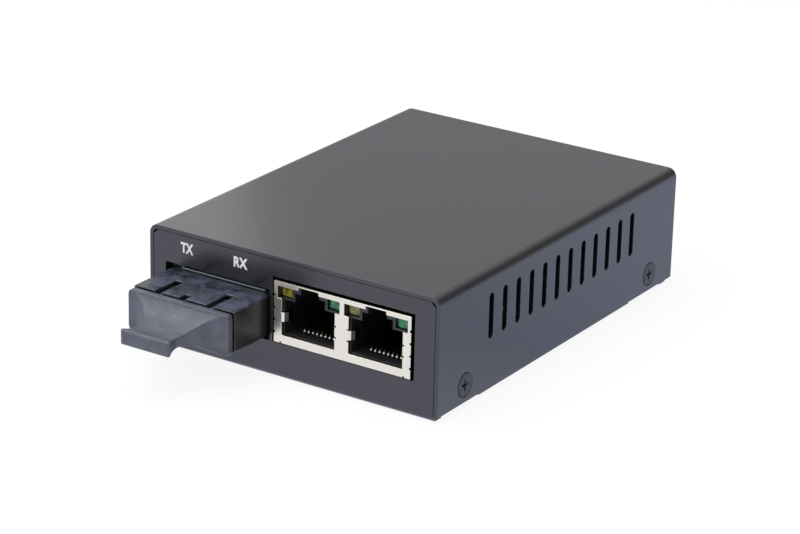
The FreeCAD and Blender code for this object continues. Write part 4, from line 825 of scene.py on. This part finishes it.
class CONVERTER_OT_panel_print(bpy.types.Operator):
    """Prints the transmit and receive marks over the fibre ports"""

    bl_idname = "converter.panel_print"
    bl_label = "Panel print"

    # Each word's left end from the middle of the fibre ports, and its width.
    words = {"TX": (-9.15 * MM, 3.15 * MM), "RX": (4.05 * MM, 3.45 * MM)}

    def execute(self, context):
        sizes = context.scene.converter_sizes
        panel_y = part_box("base_chassis")[0].y
        middle = (NOSE_LOW.x + NOSE_HIGH.x) / 2
        for word, (left, width) in self.words.items():
            low = Vector((middle + left, panel_y, sizes.letter_level))
            self.print_word(word, low, width, sizes.letter_height)
        return {"FINISHED"}

    def print_word(self, word, low, width, height):
        """A word in flat ink on the front panel, from its lower left corner, stretched to its size."""
        text = bpy.data.curves.new(word, "FONT")
        text.body = word
        # In the letters' own size, before they are stretched: a thin layer, in slightly bold strokes.
        text.extrude = 0.008
        text.offset = 0.04
        thing = add_object(f"{word}_print", text)
        graph = bpy.context.evaluated_depsgraph_get()
        graph.update()
        mesh = bpy.data.meshes.new_from_object(thing.evaluated_get(graph), depsgraph=graph)
        bpy.data.objects.remove(thing)
        xs = [v.co.x for v in mesh.vertices]
        ys = [v.co.y for v in mesh.vertices]
        fit = Matrix.Diagonal((width / (max(xs) - min(xs)), height / (max(ys) - min(ys)), MM, 1.0))
        stand = Matrix.Rotation(math.radians(90), 4, "X")
        place = Matrix.Translation(low)
        mesh.transform(place @ stand @ fit @ Matrix.Translation((-min(xs), -min(ys), 0)))
        thing = add_object(f"{word}_print", mesh)
        mesh.materials.clear()
        paint(thing, "print_ink")
        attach(thing, "root")


class CONVERTER_OT_stage(bpy.types.Operator):
    """Sets up the floor, the light and the camera"""

    bl_idname = "converter.stage"
    bl_label = "Stage"

    def execute(self, context):
        self.floor()
        self.light(context.scene)
        self.camera(context.scene)
        return {"FINISHED"}

    def floor(self):
        """A pale floor, white to the camera, that gloss shows cool, and dimmer beside the case as a painted
        shadow of the case.
        """
        shell = bmesh.new()
        bmesh.ops.create_grid(shell, x_segments=1, y_segments=1, size=3.0)
        mesh = bpy.data.meshes.new("floor")
        shell.to_mesh(mesh)
        shell.free()
        thing = add_object("floor", mesh)
        thing.location.z = CAD_BOX[0].z - 0.02 * MM
        material, tree, output = new_material("pale_floor")
        rays = add_node(tree, "ShaderNodeLightPath")
        # Nine tenths plain white, and one tenth that takes the shadow.
        share = add_node(
            tree, "ShaderNodeMath", {"operation": "MULTIPLY"}, i0=rays.outputs["Is Camera Ray"], i1=0.9
        ).outputs[0]
        pale = add_node(tree, "ShaderNodeBsdfDiffuse", Color=srgb("#f2f2f2"))
        white = add_node(tree, "ShaderNodeEmission", Color=(1, 1, 1, 1), Strength=1.0)
        seen = add_node(tree, "ShaderNodeMixShader", i0=share, i1=pale.outputs[0], i2=white.outputs[0])
        place = add_node(tree, "ShaderNodeTexCoord").outputs["Object"]
        depth = add_node(tree, "ShaderNodeSeparateXYZ", Vector=place).outputs["Y"]
        # Linear tones of the floor in the gloss: in front of the case, beside it (dimmer, a painted shadow of
        # the case) and far behind.
        tone = (0.81, 0.83, 1.00, 1.0)
        for near, far, beyond in (
            (CASE_LOW.y - 8 * MM, 0.0, (0.57, 0.62, 0.81, 1.0)),
            (-12 * MM, 60 * MM, (0.72, 0.79, 1.00, 1.0)),
        ):
            along = add_node(
                tree, "ShaderNodeMapRange", Value=depth, From_Min=near, From_Max=far
            ).outputs["Result"]
            tone = add_node(
                tree, "ShaderNodeMix", {"data_type": "RGBA"}, i0=along, i6=tone, i7=beyond
            ).outputs[2]
        sheen = add_node(tree, "ShaderNodeEmission", Color=tone, Strength=1.0)
        blend = add_node(
            tree, "ShaderNodeMixShader", i0=rays.outputs["Is Glossy Ray"], i1=seen.outputs[0],
            i2=sheen.outputs[0],
        )
        tree.links.new(blend.outputs[0], output.inputs["Surface"])
        mesh.materials.append(material)

    def light(self, scene):
        """Walls that gloss shows pale with one darker gap, even light for the rest, and three lamps."""
        world = bpy.data.worlds.new("studio")
        scene.world = world
        world.use_nodes = True
        tree = world.node_tree
        tree.nodes.clear()
        output = add_node(tree, "ShaderNodeOutputWorld")
        rays = add_node(tree, "ShaderNodeLightPath")
        way = add_node(tree, "ShaderNodeTexCoord").outputs["Generated"]
        gap = Vector((0.45, 0.76, 0.47)).normalized()
        edge, core = math.cos(math.radians(30)), math.cos(math.radians(10))
        near_gap = add_node(
            tree, "ShaderNodeVectorMath", {"operation": "DOT_PRODUCT"}, i0=way, i1=gap
        ).outputs["Value"]
        wall = add_node(
            tree, "ShaderNodeMapRange", Value=near_gap, From_Min=edge, From_Max=core, To_Min=0.61,
            To_Max=0.22,
        ).outputs["Result"]
        level = add_node(
            tree, "ShaderNodeMix", {"data_type": "FLOAT"}, i0=rays.outputs["Is Glossy Ray"], i2=0.55, i3=wall
        ).outputs[0]
        seen = add_node(
            tree, "ShaderNodeMath", {"operation": "MAXIMUM"}, i0=rays.outputs["Is Camera Ray"],
            i1=rays.outputs["Is Transmission Ray"],
        ).outputs[0]
        soft = add_node(tree, "ShaderNodeBackground", Color=(1, 0.98, 1.03, 1), Strength=level)
        white = add_node(tree, "ShaderNodeBackground", Color=(1, 1, 1, 1), Strength=1.0)
        blend = add_node(
            tree, "ShaderNodeMixShader", i0=seen, i1=soft.outputs[0], i2=white.outputs[0]
        )
        tree.links.new(blend.outputs[0], output.inputs["Surface"])
        middle = Vector((0, 0, 13 * MM))
        for name, place, size, power, tint in (
            ("overhead_softbox", (-0.15, -0.25, 0.90), 0.9, 9.0, (0.88, 0.94, 1.0)),
            ("front_softbox", (-0.35, -0.90, 0.40), 0.5, 0.7, (1.0, 1.0, 1.0)),
            ("left_card", (-0.209, 0.107, 0.132), 0.16, 0.043, (1.0, 0.98, 1.0)),
        ):
            lamp = bpy.data.lights.new(name, "AREA")
            lamp.size = size
            lamp.energy = power
            lamp.color = tint
            thing = add_object(name, lamp)
            thing.location = place
            thing.rotation_euler = (middle - Vector(place)).to_track_quat("-Z", "Y").to_euler()

    def camera(self, scene):
        """The camera stands front right and above, level but for a slight roll."""
        azimuth, elevation, roll = (math.radians(a) for a in (32.9719, 21.3238, 1.4089))
        back = Vector((
            math.sin(azimuth) * math.cos(elevation),
            -math.cos(azimuth) * math.cos(elevation),
            math.sin(elevation),
        ))
        right = Vector((0, 0, 1)).cross(back).normalized()
        up = back.cross(right)
        turned_right = right * math.cos(roll) + up * math.sin(roll)
        turned_up = up * math.cos(roll) - right * math.sin(roll)
        axes = Matrix((turned_right, turned_up, back)).transposed()
        # The case's lower front left corner, as it lies in the camera's own axes.
        offset = Vector((-51.2277, -15.2249, -615.1255)) * MM
        corner = Vector((CASE_LOW.x, CASE_LOW.y, 0.0))
        data = bpy.data.cameras.new("camera")
        data.sensor_width = 36.0
        data.lens = 134.63
        data.clip_start = 0.01
        data.clip_end = 20.0
        thing = add_object("camera", data)
        thing.matrix_world = Matrix.Translation(corner - axes @ offset) @ axes.to_4x4()
        scene.camera = thing
        scene.view_settings.view_transform = "Standard"


class CONVERTER_PT_panel(bpy.types.Panel):
    """The converter's pieces, sizes and colours"""

    bl_label = "Fibre media converter"
    bl_idname = "CONVERTER_PT_panel"
    bl_space_type = "VIEW_3D"
    bl_region_type = "UI"
    bl_category = "Converter"

    def draw(self, context):
        for group in (context.scene.converter_sizes, context.scene.converter_colours):
            for name in group.__annotations__:
                self.layout.prop(group, name)
        for step in STEPS:
            self.layout.operator(step.bl_idname)


STEPS = (
    CONVERTER_OT_case,
    CONVERTER_OT_screws,
    CONVERTER_OT_network_jack,
    CONVERTER_OT_transceiver,
    CONVERTER_OT_dust_plug,
    CONVERTER_OT_power_socket,
    CONVERTER_OT_board,
    CONVERTER_OT_panel_print,
    CONVERTER_OT_stage,
)
CLASSES = (ConverterSizes, ConverterColours, *STEPS, CONVERTER_PT_panel)


def register():
    for cls in CLASSES:
        bpy.utils.register_class(cls)
    bpy.types.Scene.converter_sizes = PointerProperty(type=ConverterSizes)
    bpy.types.Scene.converter_colours = PointerProperty(type=ConverterColours)


def unregister():
    del bpy.types.Scene.converter_colours
    del bpy.types.Scene.converter_sizes
    for cls in reversed(CLASSES):
        bpy.utils.unregister_class(cls)


def main():
    register()
    FINISHES.update(make_finishes(bpy.context.scene.converter_colours))
    for step in STEPS:
        family, name = step.bl_idname.split(".")
        getattr(getattr(bpy.ops, family), name)()


if __name__ == "__main__":
    main()
